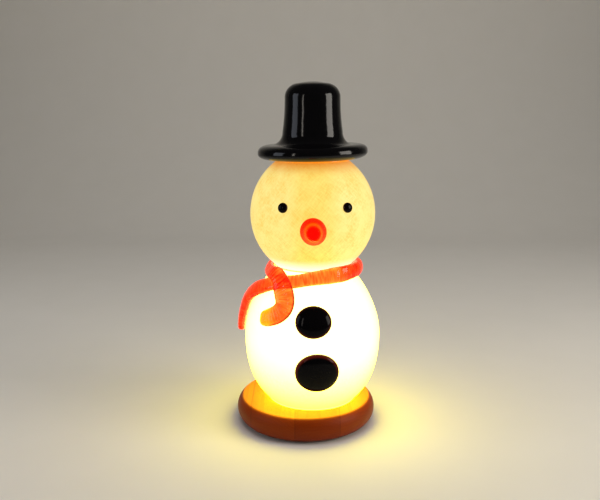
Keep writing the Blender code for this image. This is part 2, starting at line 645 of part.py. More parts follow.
def hat_outside():
    """Outer side of the hat, from the top of the crown over the rolled brim to the edge of the opening."""
    top_edge = (CROWN_RADIUS - CROWN_CORNER, HAT_HEIGHT - CROWN_DOME)
    shoulder = (CROWN_RADIUS, HAT_HEIGHT - CROWN_DOME - CROWN_CORNER)
    foot = (CROWN_FOOT_RADIUS, CROWN_FOOT_HEIGHT)
    flat = (BRIM_FLAT_RADIUS, BRIM_FLAT_HEIGHT)
    rim = (BRIM_RADIUS, BRIM_RIM_HEIGHT)
    lip = (BRIM_LIP_RADIUS, BRIM_LIP_RISE)
    points = [(0.0, HAT_HEIGHT), top_edge]
    points += quarter_turn(top_edge, shoulder, SMALL_POINTS, True)
    for step in range(1, SMALL_POINTS):
        share = step / SMALL_POINTS
        radius = CROWN_RADIUS + (CROWN_FOOT_RADIUS - CROWN_RADIUS) * share**2
        points.append((radius, shoulder[1] + (CROWN_FOOT_HEIGHT - shoulder[1]) * share))
    points.append(foot)
    points += quarter_turn(foot, flat, SMALL_POINTS, False)
    points += quarter_turn(flat, rim, SMALL_POINTS, True, BRIM_POWER)
    points += quarter_turn(rim, lip, SMALL_POINTS, False)
    points.append((HAT_OPENING_RADIUS, 0.0))
    return points


def tip_brim(mesh):
    """Tip the brim sideways, from the ring of the opening outwards, more than the crown leans."""
    for vert in mesh.vertices:
        radius = math.hypot(vert.co.x, vert.co.y)
        if radius > HAT_OPENING_RADIUS:
            beyond = 1.0 - HAT_OPENING_RADIUS / radius
            vert.co.z += beyond * vert.co.x * math.tan(BRIM_TILT)


def build_hat(black, bond, axis):
    """Blown hat, hollow and open below, set a little askew on the head, and the ring that bonds it."""
    seat = make_axis("hat_seat", (0.0, 0.0, HEAD_Z), (0.0, -HAT_TILT, 0.0), axis)
    inner_top = HAT_HEIGHT - CROWN_DOME - HAT_WALL
    inner_crown = CROWN_RADIUS - HAT_WALL
    inside = [
        (HAT_OPENING_RADIUS, BRIM_RIM_HEIGHT),
        (CROWN_FOOT_RADIUS - HAT_WALL, CROWN_FOOT_HEIGHT),
        (inner_crown, inner_top - CROWN_CORNER),
    ]
    inside += quarter_turn(inside[-1], (inner_crown - CROWN_CORNER, inner_top), SMALL_POINTS, False)
    inside.append((0.0, inner_top))
    hat_mesh = turned("hat", raised(hat_outside() + inside, HAT_SEAT, 1.0), HAT_SEGMENTS)
    tip_brim(hat_mesh)
    make_piece("hat", hat_mesh, black, seat)

    ring = []
    for radius in (HAT_OPENING_RADIUS, HAT_OPENING_RADIUS + HAT_BOND_WIDTH):
        ring.append((radius, fall(HEAD_RADIUS, HEAD_RISE, ROUND_POWER, radius) + TOUCH_GAP))
    slope = BRIM_LIP_RISE / (BRIM_LIP_RADIUS - HAT_OPENING_RADIUS)
    underside = HAT_SEAT + slope * HAT_BOND_WIDTH - TOUCH_GAP
    ring += [(ring[1][0], underside), (ring[0][0], HAT_SEAT - TOUCH_GAP)]
    make_piece("hat_bond", turned("hat_bond", ring, HAT_SEGMENTS), bond, seat)


def build_dome(name, place, size, black, cutter, axis):
    """Dome at an azimuth and height, of a radius, bulge and edge, its back cut to fit the glass."""
    radius, bulge, edge = size
    dome = raised(quarter(radius, bulge + edge, ROUND_POWER, 0.0, INNER_POINTS), -edge, 1.0)
    root = -edge - radius / 2.0
    mesh = turned(name, dome[::-1] + [(radius, root), (0.0, root)], SMALL_SEGMENTS)
    point, outward = on_glass(*place)
    cut(make_piece(name, mesh, black, axis, point, facing(outward)), cutter)


def build_face(black, red, head_cutter, body_cutter, axis):
    """Eyes and buttons, all of them domes, and the blunt cone of the nose, drawn a little oval."""
    eye_size = (EYE_RADIUS, EYE_BULGE, EYE_EDGE)
    eye_z = HEAD_Z + EYE_HEIGHT
    build_dome("eye_left", (FACE_TURN - EYE_SPREAD, eye_z), eye_size, black, head_cutter, axis)
    build_dome("eye_right", (FACE_TURN + EYE_SPREAD, eye_z), eye_size, black, head_cutter, axis)
    upper_size = (BUTTON_UPPER_RADIUS, BUTTON_BULGE, BUTTON_EDGE)
    upper_place = (BUTTON_UPPER_AZIMUTH, WAIST_Z + BUTTON_UPPER_HEIGHT)
    build_dome("button_upper", upper_place, upper_size, black, body_cutter, axis)
    lower_size = (BUTTON_LOWER_RADIUS, BUTTON_BULGE, BUTTON_EDGE)
    lower_place = (BUTTON_LOWER_AZIMUTH, WAIST_Z + BUTTON_LOWER_HEIGHT)
    build_dome("button_lower", lower_place, lower_size, black, body_cutter, axis)

    nose = [(0.0, NOSE_LENGTH), (NOSE_TIP_RADIUS - NOSE_TIP_ROUND, NOSE_LENGTH)]
    nose += quarter_turn(nose[-1], (NOSE_TIP_RADIUS, NOSE_LENGTH - NOSE_TIP_ROUND), SMALL_POINTS, True)
    nose += [(NOSE_FOOT_RADIUS, NOSE_RIM), (NOSE_FOOT_RADIUS, -NOSE_ROOT), (0.0, -NOSE_ROOT)]
    point, _ = on_glass(NOSE_AZIMUTH, HEAD_Z + NOSE_HEIGHT)
    forward = Vector((math.sin(NOSE_AZIMUTH), -math.cos(NOSE_AZIMUTH), math.tan(NOSE_LIFT)))
    nose_mesh = turned("nose", nose, SMALL_SEGMENTS)
    oval = Matrix.Diagonal((1.0, NOSE_OVAL, 1.0, 1.0))
    nose_mesh.transform(Matrix.Rotation(NOSE_OVAL_TURN, 4, "Z") @ oval)
    cut(make_piece("nose", nose_mesh, red, axis, point, facing(forward)), head_cutter)


def smooth_route():
    """The scarf's route as a smooth curve: azimuth in radians, height, lift, width and share of thickness."""
    route = np.array(SCARF_ROUTE, dtype=float)
    route[:, 0] = np.radians(np.unwrap(route[:, 0], period=360.0))
    route[:, 1] = NECK_Z + NECK_SEAM / 2.0 - route[:, 1]
    route[:, 2] *= SCARF_THICKNESS
    padded = np.vstack((2.0 * route[0] - route[1], route, 2.0 * route[-1] - route[-2]))
    pieces = []
    for before, start, end, after in zip(padded, padded[1:], padded[2:], padded[3:]):
        t = np.linspace(0.0, 1.0, SCARF_STEPS, endpoint=False)[:, None]
        bend = 2.0 * before - 5.0 * start + 4.0 * end - after
        twist = -before + 3.0 * start - 3.0 * end + after
        pieces.append(0.5 * (2.0 * start + (end - before) * t + bend * t**2 + twist * t**3))
    pieces.append(route[-1:])
    return np.vstack(pieces)


def unit(vectors):
    """Vectors of length one along the last axis."""
    return vectors / np.linalg.norm(vectors, axis=-1, keepdims=True)


def build_scarf(glass, axis):
    """Ribbon carried along its route, each station pushed out until its section clears the glass."""
    azimuth, height, lift, width, full = smooth_route().T
    around = np.stack((np.sin(azimuth), -np.cos(azimuth), np.zeros_like(azimuth)), axis=-1)
    up = np.array((0.0, 0.0, 1.0))
    levels = height[:, None] + np.linspace(-0.5, 0.5, SCARF_SIDES + 1) * width[:, None]
    rise = figure_radius(levels + SCARF_GAP) - figure_radius(levels - SCARF_GAP)
    slope = rise.mean(axis=1) / (2.0 * SCARF_GAP)
    normal = unit(around - slope[:, None] * up)
    middle = around * figure_radius(levels).mean(axis=1)[:, None] + height[:, None] * up

    angles = np.linspace(0.0, math.tau, SCARF_SIDES, endpoint=False)
    power = 2.0 / SCARF_EDGE_POWER
    across = 0.5 * np.sign(np.cos(angles)) * np.abs(np.cos(angles)) ** power
    through = 0.5 * np.sign(np.sin(angles)) * np.abs(np.sin(angles)) ** power
    run = np.concatenate(([0.0], np.cumsum(np.linalg.norm(np.diff(middle, axis=0), axis=1))))
    to_end = np.clip(np.minimum(run, run[-1] - run) / SCARF_END_ROUND, 0.0, 1.0)
    taper = SCARF_END_WIDTH + (1.0 - SCARF_END_WIDTH) * np.sqrt(1.0 - (1.0 - to_end) ** 2)
    across = across * (width * taper)[:, None]
    through = through * (SCARF_THICKNESS * full * (1.0 + taper) / 2.0)[:, None]

    pushed = np.full_like(height, 0.5 * SCARF_THICKNESS)
    for _ in range(SCARF_SETTLING):
        centre = middle + normal * pushed[:, None]
        along = unit(np.gradient(centre, axis=0))
        sideways = unit(np.cross(along, normal))
        section = across[..., None] * sideways[:, None, :] + through[..., None] * normal[:, None, :]
        points = centre[:, None, :] + section
        room = np.hypot(points[..., 0], points[..., 1]) - figure_radius(points[..., 2])
        pushed = pushed + (SCARF_GAP - room.min(axis=1))
    centre = middle + normal * (pushed + lift)[:, None]
    points = centre[:, None, :] + section

    form = bmesh.new()
    rings = [[form.verts.new(point) for point in ring] for ring in points]
    for one, two in zip(rings, rings[1:]):
        for side in range(SCARF_SIDES):
            following = (side + 1) % SCARF_SIDES
            form.faces.new((one[side], one[following], two[following], two[side]))
    form.faces.new(rings[0])
    form.faces.new(rings[-1])
    make_piece("scarf", mesh_from("scarf", form), glass, axis)


def main():
    """Build the lamp from the base up."""
    clear_scene()
    wood = make_material("beech", (0.42, 0.20, 0.08), 0.45)
    felt = make_material("green_felt", (0.03, 0.06, 0.04), 0.95)
    steel = make_material("zinc_plated_steel", (0.62, 0.62, 0.60), 0.35, 1.0)
    brass = make_material("brass", (0.75, 0.55, 0.25), 0.30, 1.0)
    rubber = make_material("clear_silicone", (0.75, 0.74, 0.70), 0.40)
    plastic = make_material("black_thermoplastic", (0.02, 0.02, 0.02), 0.45)
    porcelain = make_material("white_porcelain", (0.85, 0.84, 0.80), 0.25)
    nickel = make_material("nickel_plated_brass", (0.70, 0.68, 0.64), 0.25, 1.0)
    white = make_material("white_thermoplastic", (0.85, 0.85, 0.83), 0.40)
    opal = make_material("opal_polycarbonate", (0.95, 0.90, 0.78), 0.35)
    body_glass = make_material("opal_glass_white", (1.00, 0.98, 0.88), 0.30)
    head_glass = make_material("opal_glass_cream", (1.00, 0.80, 0.32), 0.30)
    scarf_glass = make_material("orange_glass", (0.85, 0.14, 0.04), 0.12)
    red_glass = make_material("red_glass", (0.85, 0.04, 0.01), 0.12)
    black_glass = make_material("black_glass", (0.004, 0.004, 0.005), 0.05)

    figure_axis = make_axis("figure_axis", (FIGURE_SHIFT, 0.0, 0.0))
    bulb_axis = make_axis("bulb_axis", (FIGURE_SHIFT, 0.0, 0.0))
    holder_axis = make_axis("holder_axis", (FIGURE_SHIFT, 0.0, 0.0))
    base = build_base(wood, rubber, holder_axis)
    build_outlet(base, plastic)
    build_underside(base, felt, steel, holder_axis)
    build_lampholder(steel, brass, plastic, porcelain, holder_axis)
    build_bulb(nickel, black_glass, white, opal, bulb_axis)
    body_cutter, head_cutter = build_globes(body_glass, head_glass, rubber, figure_axis)
    build_hat(black_glass, rubber, figure_axis)
    build_face(black_glass, red_glass, head_cutter, body_cutter, figure_axis)
    build_scarf(scarf_glass, figure_axis)
    bpy.context.view_layer.update()


main()
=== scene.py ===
"""Looks of the snowman table lamp: opal glass globes, hat, scarf and face over a turned wooden base.

Metres, +Z up, the face towards -Y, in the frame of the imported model. Every surface is a function of two
parameters worked out as whole arrays: a section turned round an axis, a dome laid on the glass, or a
section carried along a route.
"""

import math
from functools import partial

import bpy
import numpy as np
from bpy.props import FloatProperty, FloatVectorProperty, PointerProperty
from bpy.types import Operator, Panel, PropertyGroup
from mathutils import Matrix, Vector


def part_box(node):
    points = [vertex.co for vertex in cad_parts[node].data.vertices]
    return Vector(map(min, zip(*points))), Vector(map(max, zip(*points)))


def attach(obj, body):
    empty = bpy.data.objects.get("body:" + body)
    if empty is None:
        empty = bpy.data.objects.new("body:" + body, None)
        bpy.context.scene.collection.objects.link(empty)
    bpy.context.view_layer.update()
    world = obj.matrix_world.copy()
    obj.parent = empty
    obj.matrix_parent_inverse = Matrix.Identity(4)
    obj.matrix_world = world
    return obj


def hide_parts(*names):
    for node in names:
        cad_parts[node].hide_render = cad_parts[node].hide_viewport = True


bl_info = {
    "name": "Snowman Table Lamp",
    "version": (1, 0, 0),
    "blender": (4, 5, 0),
    "location": "3D View > Sidebar > Snowman Lamp",
    "description": "Builds the glass snowman lamp, its wooden base and its bulb around the packed model",
    "category": "Object",
}

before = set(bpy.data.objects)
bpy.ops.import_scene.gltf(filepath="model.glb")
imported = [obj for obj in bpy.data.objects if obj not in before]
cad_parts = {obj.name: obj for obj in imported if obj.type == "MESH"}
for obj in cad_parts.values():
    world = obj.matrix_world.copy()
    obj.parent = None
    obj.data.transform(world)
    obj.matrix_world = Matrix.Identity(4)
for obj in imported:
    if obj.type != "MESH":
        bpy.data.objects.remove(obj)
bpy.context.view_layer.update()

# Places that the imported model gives
BASE_LOW, BASE_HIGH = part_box("wood_base")
FELT_LOW, FELT_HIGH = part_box("felt_pad")
BODY_LOW, BODY_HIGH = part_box("body_globe")
HEAD_LOW, HEAD_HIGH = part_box("head_globe")
NECK_LOW, NECK_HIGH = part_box("neck_bond")
GASKET_LOW, GASKET_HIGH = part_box("rim_gasket")
PLATE_LOW, PLATE_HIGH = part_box("bottom_plate")
BUSH_LOW, BUSH_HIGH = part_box("cord_bush")
NIPPLE_LOW, NIPPLE_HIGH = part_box("nipple")
CAP_LOW, CAP_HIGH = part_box("holder_cap")
SLEEVE_LOW, SLEEVE_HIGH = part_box("holder_sleeve")
INSERT_LOW, INSERT_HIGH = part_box("holder_insert")
SHELL_LOW, SHELL_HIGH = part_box("holder_screw_shell")
SEAT_CONTACT_LOW, SEAT_CONTACT_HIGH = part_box("holder_contact")
TIP_CONTACT_LOW, TIP_CONTACT_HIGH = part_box("bulb_contact")
INSULATOR_LOW, INSULATOR_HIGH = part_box("bulb_insulator")
SCREW_CAP_LOW, SCREW_CAP_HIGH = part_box("bulb_cap")
COLLAR_LOW, COLLAR_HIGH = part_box("bulb_collar")
DIFFUSER_LOW, DIFFUSER_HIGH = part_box("bulb_diffuser")

FIGURE_X = (BODY_LOW.x + BODY_HIGH.x) / 2.0  # of the axis that glass, bulb and lampholder share
FIGURE_AXIS = np.array((FIGURE_X, 0.0, 0.0))
BASE_AXIS = np.zeros(3)
UP = np.array((0.0, 0.0, 1.0))
CLEARANCE = 0.0003  # between pieces that bear on each other

# Fineness of the surfaces
GLASS_SEGMENTS = 192
HAT_SEGMENTS = 160
SMALL_SEGMENTS = 96
CORNER_STEPS = 5
SHARP_ANGLE = math.radians(40.0)
POLE_WIDTH = 1e-7  # a row narrower than this closes in one point


def half_width(low, high):
    """Half of a box's width along X."""
    return (high.x - low.x) / 2.0


def linear(code):
    """An sRGB hex colour as linear red, green and blue."""
    shares = np.array([int(code[start : start + 2], 16) for start in (1, 3, 5)]) / 255.0
    return tuple(np.where(shares <= 0.04045, shares / 12.92, ((shares + 0.055) / 1.055) ** 2.4))


def length(name, description, default):
    """A length that a user may change."""
    return FloatProperty(name=name, description=description, default=default, unit="LENGTH", precision=5)


def angle(name, description, degrees):
    """An angle that a user may change, given in degrees."""
    return FloatProperty(name=name, description=description, default=math.radians(degrees), unit="ROTATION")


def share(name, description, default):
    """A plain number that a user may change."""
    return FloatProperty(name=name, description=description, default=default, precision=4)


def wattage(name, description, default):
    """A lamp's power that a user may change, in watts."""
    return FloatProperty(name=name, description=description, default=default, unit="POWER")


def colour(name, description, code):
    """A colour that a user may change, given as an sRGB hex value."""
    return FloatVectorProperty(
        name=name, description=description, default=linear(code), size=3, subtype="COLOR", min=0.0, max=1.0
    )


class SnowmanBaseSettings(PropertyGroup):
    """Sizes and colours of the wooden base and what is set in it."""

    radius: length("Radius", "At the widest, half way up the side", half_width(BASE_LOW, BASE_HIGH))
    bulge: length("Bulge", "Of the side, beyond the top and bottom edges", 0.0053)
    edge_round: length("Edge rounding", "Of the turned edges", 0.0007)
    groove_width: length("Groove width", "Of the groove that the glass stands in", 0.0047)
    board_width: length("Board width", "Of the boards that are glued edge to edge", 0.040)
    board_seam: length("Board seam", "Place of one glue line along X", -0.010)
    cavity_radius: length("Wiring space radius", "Of the hollow under the lampholder", 0.0280)
    cavity_roof: length("Wiring space roof", "Height of its upper side", 0.0145)
    cord_hole_radius: length("Cord hole radius", "Of the hole at the back", 0.0045)
    cord_bore_radius: length("Cord bore radius", "Of the bush in that hole", 0.0035)
    bush_flange: length("Bush flange", "Thickness of the bush's flange", 0.0020)
    wood_light: colour("Light wood", "Early wood of the boards", "#CC7A1A")
    wood_dark: colour("Dark wood", "Late wood and flecks of the boards", "#94470F")


class SnowmanBulbSettings(PropertyGroup):
    """Sizes and colours of the lampholder and the bulb."""

    holder_wall: length("Lampholder wall", "Of the lampholder's cap and sleeve", 0.0020)
    holder_ledge: length("Lampholder ledge", "Width of the cap's upper edge", 0.0033)
    holder_shoulder: length("Lampholder shoulder", "Height of the cap's rounded foot", 0.0035)
    shell_wall: length("Shell wall", "Of the pressed screw shell", 0.0006)
    shell_press: length("Shell press", "Depth of the thread pressed in the shell", 0.00028)
    thread_pitch: length("Thread pitch", "Of the bulb's screw cap", 0.00282)
    thread_depth: length("Thread depth", "Of the bulb's screw cap", 0.0007)
    flute_depth: length("Grip depth", "Of the flutes round the lampholder's sleeve", 0.0005)
    flute_count: share("Grip flutes", "Round the lampholder's sleeve", 30.0)
    cap_flare: length("Cap flare", "Of the screw cap, beyond its shank", 0.0012)
    collar_foot: length("Collar foot", "Radius of the collar at the screw cap", 0.0095)
    insulator_foot: length("Insulator foot", "Radius of the glass foot at the contact", 0.0032)
    glow: colour("Glow", "Of the bulb's opal globe", "#FFE9B8")
    glow_strength: share("Glow strength", "Of the bulb's opal globe", 4.0)


class SnowmanGlassSettings(PropertyGroup):
    """Sizes and colours of the two opal globes."""

    wall: length("Wall", "Thickness of the glass", 0.0035)
    mouth_radius: length("Mouth radius", "Of the collar that stands in the base", 0.0405)
    body_radius: length("Body radius", "At the widest ring", half_width(BODY_LOW, BODY_HIGH))
    waist: length("Waist height", "Of the body's widest ring", 0.0877)
    body_drop: length("Body drop", "Down to where the outline would close", 0.0755)
    body_drop_power: share("Body drop power", "Of the lower outline", 2.43)
    body_rise: length("Body rise", "Up to where the outline would close", 0.0798)
    body_rise_power: share("Body rise power", "Of the upper outline", 1.63)
    waist_ease: length("Waist ease", "Height over which the two outlines are eased together", 0.0110)
    neck_radius: length("Neck radius", "Where body and head meet", half_width(NECK_LOW, NECK_HIGH))
    head_radius: length("Head radius", "At the widest ring", half_width(HEAD_LOW, HEAD_HIGH))
    head_height: length("Head height", "Of the head's widest ring", 0.1974)
    head_rise: length("Head rise", "From the widest ring to the top", 0.0582)
    belly_glow: colour("Belly glow", "Light through the middle of the body", "#D8D284")
    foot_glow: colour("Foot glow", "Light through the foot of the body", "#FFF64A")
    body_strength: share("Body strength", "Of the light through the body", 6.0)
    chin_glow: colour("Chin glow", "Light through the lower head", "#FFE86E")
    brow_glow: colour("Brow glow", "Light through the upper head", "#FADD72")
    # painted sheen: a paler glow towards the sides of the head
    side_sheen_glow: colour("Cheek glow", "Light through the sides of the head", "#FFF2A8")
    crown_glow: colour("Crown glow", "Light through the glass under the hat", "#E78108")
    head_strength: share("Head strength", "Of the light through the head", 0.98)


class SnowmanHatSettings(PropertyGroup):
    """Sizes and colour of the black glass hat, measured from the edge of its opening."""

    tilt: angle("Tilt", "Of the whole hat on the head", 0.25)
    opening_radius: length("Opening radius", "Of the edge that rests on the head", 0.0314)
    seat: length("Seat", "Of that edge above the middle of the head", 0.0492)
    height: length("Height", "From the opening to the top", 0.0675)
    wall: length("Wall", "Thickness of the glass", 0.0035)
    crown_dome: length("Crown dome", "Rise of the flat top", 0.0014)
    crown_corner: length("Crown corner", "Of the rounded top edge", 0.0124)
    crown_radius: length("Crown radius", "Just below the rounded top", 0.0247)
    foot_radius: length("Crown foot radius", "Above the brim", 0.0269)
    foot_height: length("Crown foot height", "Where the brim begins", 0.0238)
    brim_tilt: angle("Brim tilt", "Of the brim, from the ring of the opening outwards", 3.5)
    flat_radius: length("Brim flat radius", "Where the brim begins to roll", 0.0360)
    flat_height: length("Brim flat height", "Where the brim begins to roll", 0.0130)
    brim_radius: length("Brim radius", "At the widest", 0.0492)
    rim_height: length("Brim rim height", "At the widest", 0.0054)
    lip_radius: length("Brim lip radius", "Lowest ring of the rolled edge", 0.0370)
    lip_rise: length("Brim lip rise", "Of that ring above the opening", -0.0002)
    brim_power: share("Brim power", "Of the rolled edge's outline", 2.8)
    bond_width: length("Bond width", "Of the adhesive under the opening's edge", 0.0012)
    black: colour("Black glass", "Of the hat, eyes and buttons", "#040405")


class SnowmanFaceSettings(PropertyGroup):
    """Places and sizes of the eyes, the nose and the buttons; azimuth 0 is in front."""

    turn: angle("Face turn", "Of the face, to the right", 1.5)
    eye_spread: angle("Eye spread", "Of each eye from the middle of the face", 29.2)
    eye_height: length("Eye height", "Above the middle of the head", 0.0115)
    eye_radius: length("Eye radius", "Of each eye", 0.0044)
    eye_bulge: length("Eye bulge", "Of each eye from the glass", 0.0026)
    eye_edge: length("Eye edge", "Upright edge of each eye", 0.0004)
    nose_azimuth: angle("Nose azimuth", "Of the nose", -0.4)
    nose_height: length("Nose height", "From the middle of the head", -0.0078)
    nose_lift: angle("Nose lift", "Of the nose's tip", 4.0)
    nose_length: length("Nose length", "From the glass to the tip", 0.0140)
    nose_foot: length("Nose foot radius", "At the glass", 0.0112)
    nose_rim: length("Nose rim", "Upright rim at the foot", 0.0012)
    nose_tip: length("Nose tip radius", "Of the blunt end", 0.0053)
    nose_oval: share("Nose oval", "Its height over its width", 1.07)
    nose_oval_turn: angle("Nose oval turn", "Of its long way, from upright to the left", 15.0)
    nose_red: colour("Nose red", "What the clear glass lets through", "#FE2000")
    nose_density: share("Nose density", "Of the colour in the clear glass", 330.0)
    button_bulge: length("Button bulge", "Of each button from the glass", 0.0046)
    button_edge: length("Button edge", "Upright edge of each button", 0.0012)
    upper_radius: length("Upper button radius", "Of the upper button", 0.0142)
    upper_oval: share("Upper button oval", "Its width over its height", 1.11)
    upper_azimuth: angle("Upper button azimuth", "Of the upper button", 0.0)
    upper_height: length("Upper button height", "From the body's widest ring", 0.0235)
    lower_radius: length("Lower button radius", "Of the lower button", 0.0179)
    lower_oval: share("Lower button oval", "Its width over its height", 1.07)
    lower_azimuth: angle("Lower button azimuth", "Of the lower button", 3.0)
    lower_height: length("Lower button height", "From the body's widest ring", -0.0210)


class SnowmanScarfSettings(PropertyGroup):
    """Section and colour of the glass ribbon."""

    thickness: length("Thickness", "Of the ribbon", 0.0058)
    gap: length("Gap", "Between the ribbon and the globes", 0.0005)
    edge_power: share("Edge power", "Of the ribbon's superellipse section", 2.4)
    end_round: length("End rounding", "Of the two ends", 0.0046)
    end_power: share("End power", "Of the ends' outline", 3.6)
    ripple_spacing: length("Ripple spacing", "Of the hand-pressed ripples", 0.0026)
    ripple_depth: length("Ripple depth", "Of the hand-pressed ripples", 0.00022)
    fold: length("Fold", "Of the front tail, from its end", 0.044)
    orange: colour("Orange glass", "What the ribbon lets through", "#F43D00")
    density: share("Density", "Of the colour in the ribbon", 420.0)
    glow: share("Glow", "Of the light that runs along inside the ribbon", 0.85)


class SnowmanStageSettings(PropertyGroup):
    """Floor, lights and camera."""

    floor: colour("Floor", "Of the floor and the backdrop", "#E4E0DA")
    key_power: wattage("Key power", "Of the soft light on the right", 4.6)
    fill_power: wattage("Fill power", "Of the soft light on the left", 1.3)
    strip_power: wattage("Strip power", "Of the narrow light", 0.5)
    top_power: wattage("Top power", "Of the soft light overhead", 14.0)
    world_strength: share("Surround strength", "Of the even light all round", 0.06)
    camera_place: FloatVectorProperty(
        name="Camera place",
        description="Of the camera",
        default=(-0.00552, -0.650, 0.29405),
        size=3,
        subtype="TRANSLATION",
    )
    camera_pitch: angle("Camera pitch", "From straight down", 78.597)
    camera_lens: FloatProperty(name="Lens", description="Focal length", default=43.24, unit="CAMERA")


class SnowmanLampSettings(PropertyGroup):
    """All the settings of the lamp and its stage."""

    base: PointerProperty(type=SnowmanBaseSettings)
    bulb: PointerProperty(type=SnowmanBulbSettings)
    glass: PointerProperty(type=SnowmanGlassSettings)
    hat: PointerProperty(type=SnowmanHatSettings)
    face: PointerProperty(type=SnowmanFaceSettings)
    scarf: PointerProperty(type=SnowmanScarfSettings)
    stage: PointerProperty(type=SnowmanStageSettings)


# The scarf from its side tail to its front tail: azimuth in degrees, drop below the neck seam, lift in
# thicknesses, width, and share of the thickness
SCARF_ROUTE = (
    (-91, 0.0625, 0, 0.0150, 1.10),
    (-91, 0.0470, 0, 0.0170, 1.35),
    (-89, 0.0345, 0, 0.0180, 1.50),
    (-80, 0.0245, 0, 0.0170, 1.30),
    (-64, 0.0172, 0, 0.0150, 1.05),
    (-46, 0.0117, 0, 0.0138, 1.00),
    (-22, 0.0088, 0, 0.0126, 1.00),
    (6, 0.0050, 0, 0.0130, 1.00),
    (36, 0.0024, 0, 0.0142, 1.00),
    (70, 0.0018, 0, 0.0130, 1.55),
    (115, 0.0018, 0, 0.0130, 1.55),
    (165, 0.0018, 0, 0.0140, 1.00),
    (210, 0.0020, 0, 0.0135, 1.00),
    (255, 0.0034, 0, 0.0110, 1.00),
    (290, 0.0050, 0.25, 0.0108, 1.00),
    (312, 0.0068, 1, 0.0140, 1.00),
    (325, 0.0120, 1, 0.0162, 1.00),
    (332, 0.0200, 0.55, 0.0180, 1.00),
    (333, 0.0275, 0, 0.0182, 1.00),
    (329, 0.0338, 0, 0.0176, 1.00),
    (320, 0.0384, 0, 0.0158, 1.00),
    (312, 0.0402, 0, 0.0125, 1.00),
)
SCARF_STEPS = 12  # stations between two points of the route
SCARF_SIDES = 40
SCARF_SETTLING = 8  # rounds of pushing it out to the glass
DOME_SETTLING = 12  # rounds of moving a dome's foot to the glass


def unit(vectors):
    """Vectors of length one: each divided by its own length."""
    return vectors / np.linalg.norm(vectors, axis=-1, keepdims=True)


def eased(values, low, high):
    """Smooth step: 0 below low, 1 above high, 3 t squared minus 2 t cubed between them."""
    t = np.clip((values - low) / (high - low), 0.0, 1.0)
    return t * t * (3.0 - 2.0 * t)


def rectangle(inner, outer, low, high):
    """Corners of a section between two radii and two heights."""
    return [(inner, low), (outer, low), (outer, high), (inner, high)]


def softened(corners, radius, closed=True):
    """Section whose corners are rounded.

    Each corner becomes a quadratic curve, (1 - t) squared of the point before it, 2 t (1 - t) of the
    corner and t squared of the point after it. Both lie at the radius from the corner, or at three tenths
    of a shorter side. One more point on either side keeps the flats flat. An open section keeps its ends.
    """
    corners = np.asarray(corners, dtype=float)
    inner = corners if closed else corners[1:-1]
    before = (np.roll(corners, 1, axis=0) if closed else corners[:-2]) - inner
    after = (np.roll(corners, -1, axis=0) if closed else corners[2:]) - inner
    sides = np.minimum(np.linalg.norm(before, axis=1), np.linalg.norm(after, axis=1))
    reach = np.minimum(radius, 0.3 * sides)[:, None]
    back, on = unit(before) * reach, unit(after) * reach
    t = np.linspace(0.0, 1.0, CORNER_STEPS)[:, None]
    curves = (1.0 - t) ** 2 * (inner + back)[:, None] + 2.0 * t * (1.0 - t) * inner[:, None]
    curves = curves + t**2 * (inner + on)[:, None]
    rows = np.concatenate(((inner + back * 1.6)[:, None], curves, (inner + on * 1.6)[:, None]), axis=1)
    rows = rows.reshape(-1, corners.shape[1])
    return rows if closed else np.vstack((corners[:1], rows, corners[-1:]))


def quarter(radius, height, power, ring, count):
    """Superellipse from its widest ring to a ring: radius cos^(2/power), height sin^(2/power)."""
    angles = np.linspace(0.0, math.acos((ring / radius) ** (power / 2.0)), count)
    across = radius * np.cos(angles) ** (2.0 / power)
    return np.stack((across, height * np.sin(angles) ** (2.0 / power)), axis=-1)


def quarter_turn(start, end, level_first, count, power=2.0):
    """Quarter superellipse after start up to end, leaving level and ending upright, or the reverse."""
    angles = np.linspace(0.0, math.pi / 2.0, count + 1)
    along = np.sin(angles) ** (2.0 / power)
    back = np.abs(np.cos(angles)) ** (2.0 / power)
    if level_first:
        across, height = start[0] + (end[0] - start[0]) * along, end[1] + (start[1] - end[1]) * back
    else:
        across, height = end[0] + (start[0] - end[0]) * back, start[1] + (end[1] - start[1]) * along
    return np.stack((across, height), axis=-1)[1:]


def evenly(section, count):
    """The same section with points at even distances along it, by straight lines between its own points."""
    run = np.concatenate(([0.0], np.cumsum(np.linalg.norm(np.diff(section, axis=0), axis=1))))
    steps = np.linspace(0.0, run[-1], count)
    return np.stack([np.interp(steps, run, values) for values in section.T], axis=-1)


def turned(section, segments, centre=BASE_AXIS):
    """Section of (radius, height) carried round: x = radius cos turn, y = radius sin turn, z = height."""
    turn = np.linspace(0.0, math.tau, segments, endpoint=False)
    radius, height = np.asarray(section, dtype=float).T
    x = radius[:, None] * np.cos(turn)
    y = radius[:, None] * np.sin(turn)
    return np.stack((x, y, height[:, None] + np.zeros_like(turn)), axis=-1) + centre


def pointed(points, origin, forward):
    """Points whose own Z is turned to a direction: origin + x side + y top + z forward."""
    forward = unit(np.asarray(forward, dtype=float))
    side = unit(np.cross(UP, forward))
    return origin + points @ np.stack((side, np.cross(forward, side), forward))


def tilted(points, middle, lean):
    """Points turned so that their own Z leans in the XZ plane: middle + x side + y across + z lean."""
    across = np.array((0.0, 1.0, 0.0))
    return middle + points @ np.stack((np.cross(across, lean), across, lean))


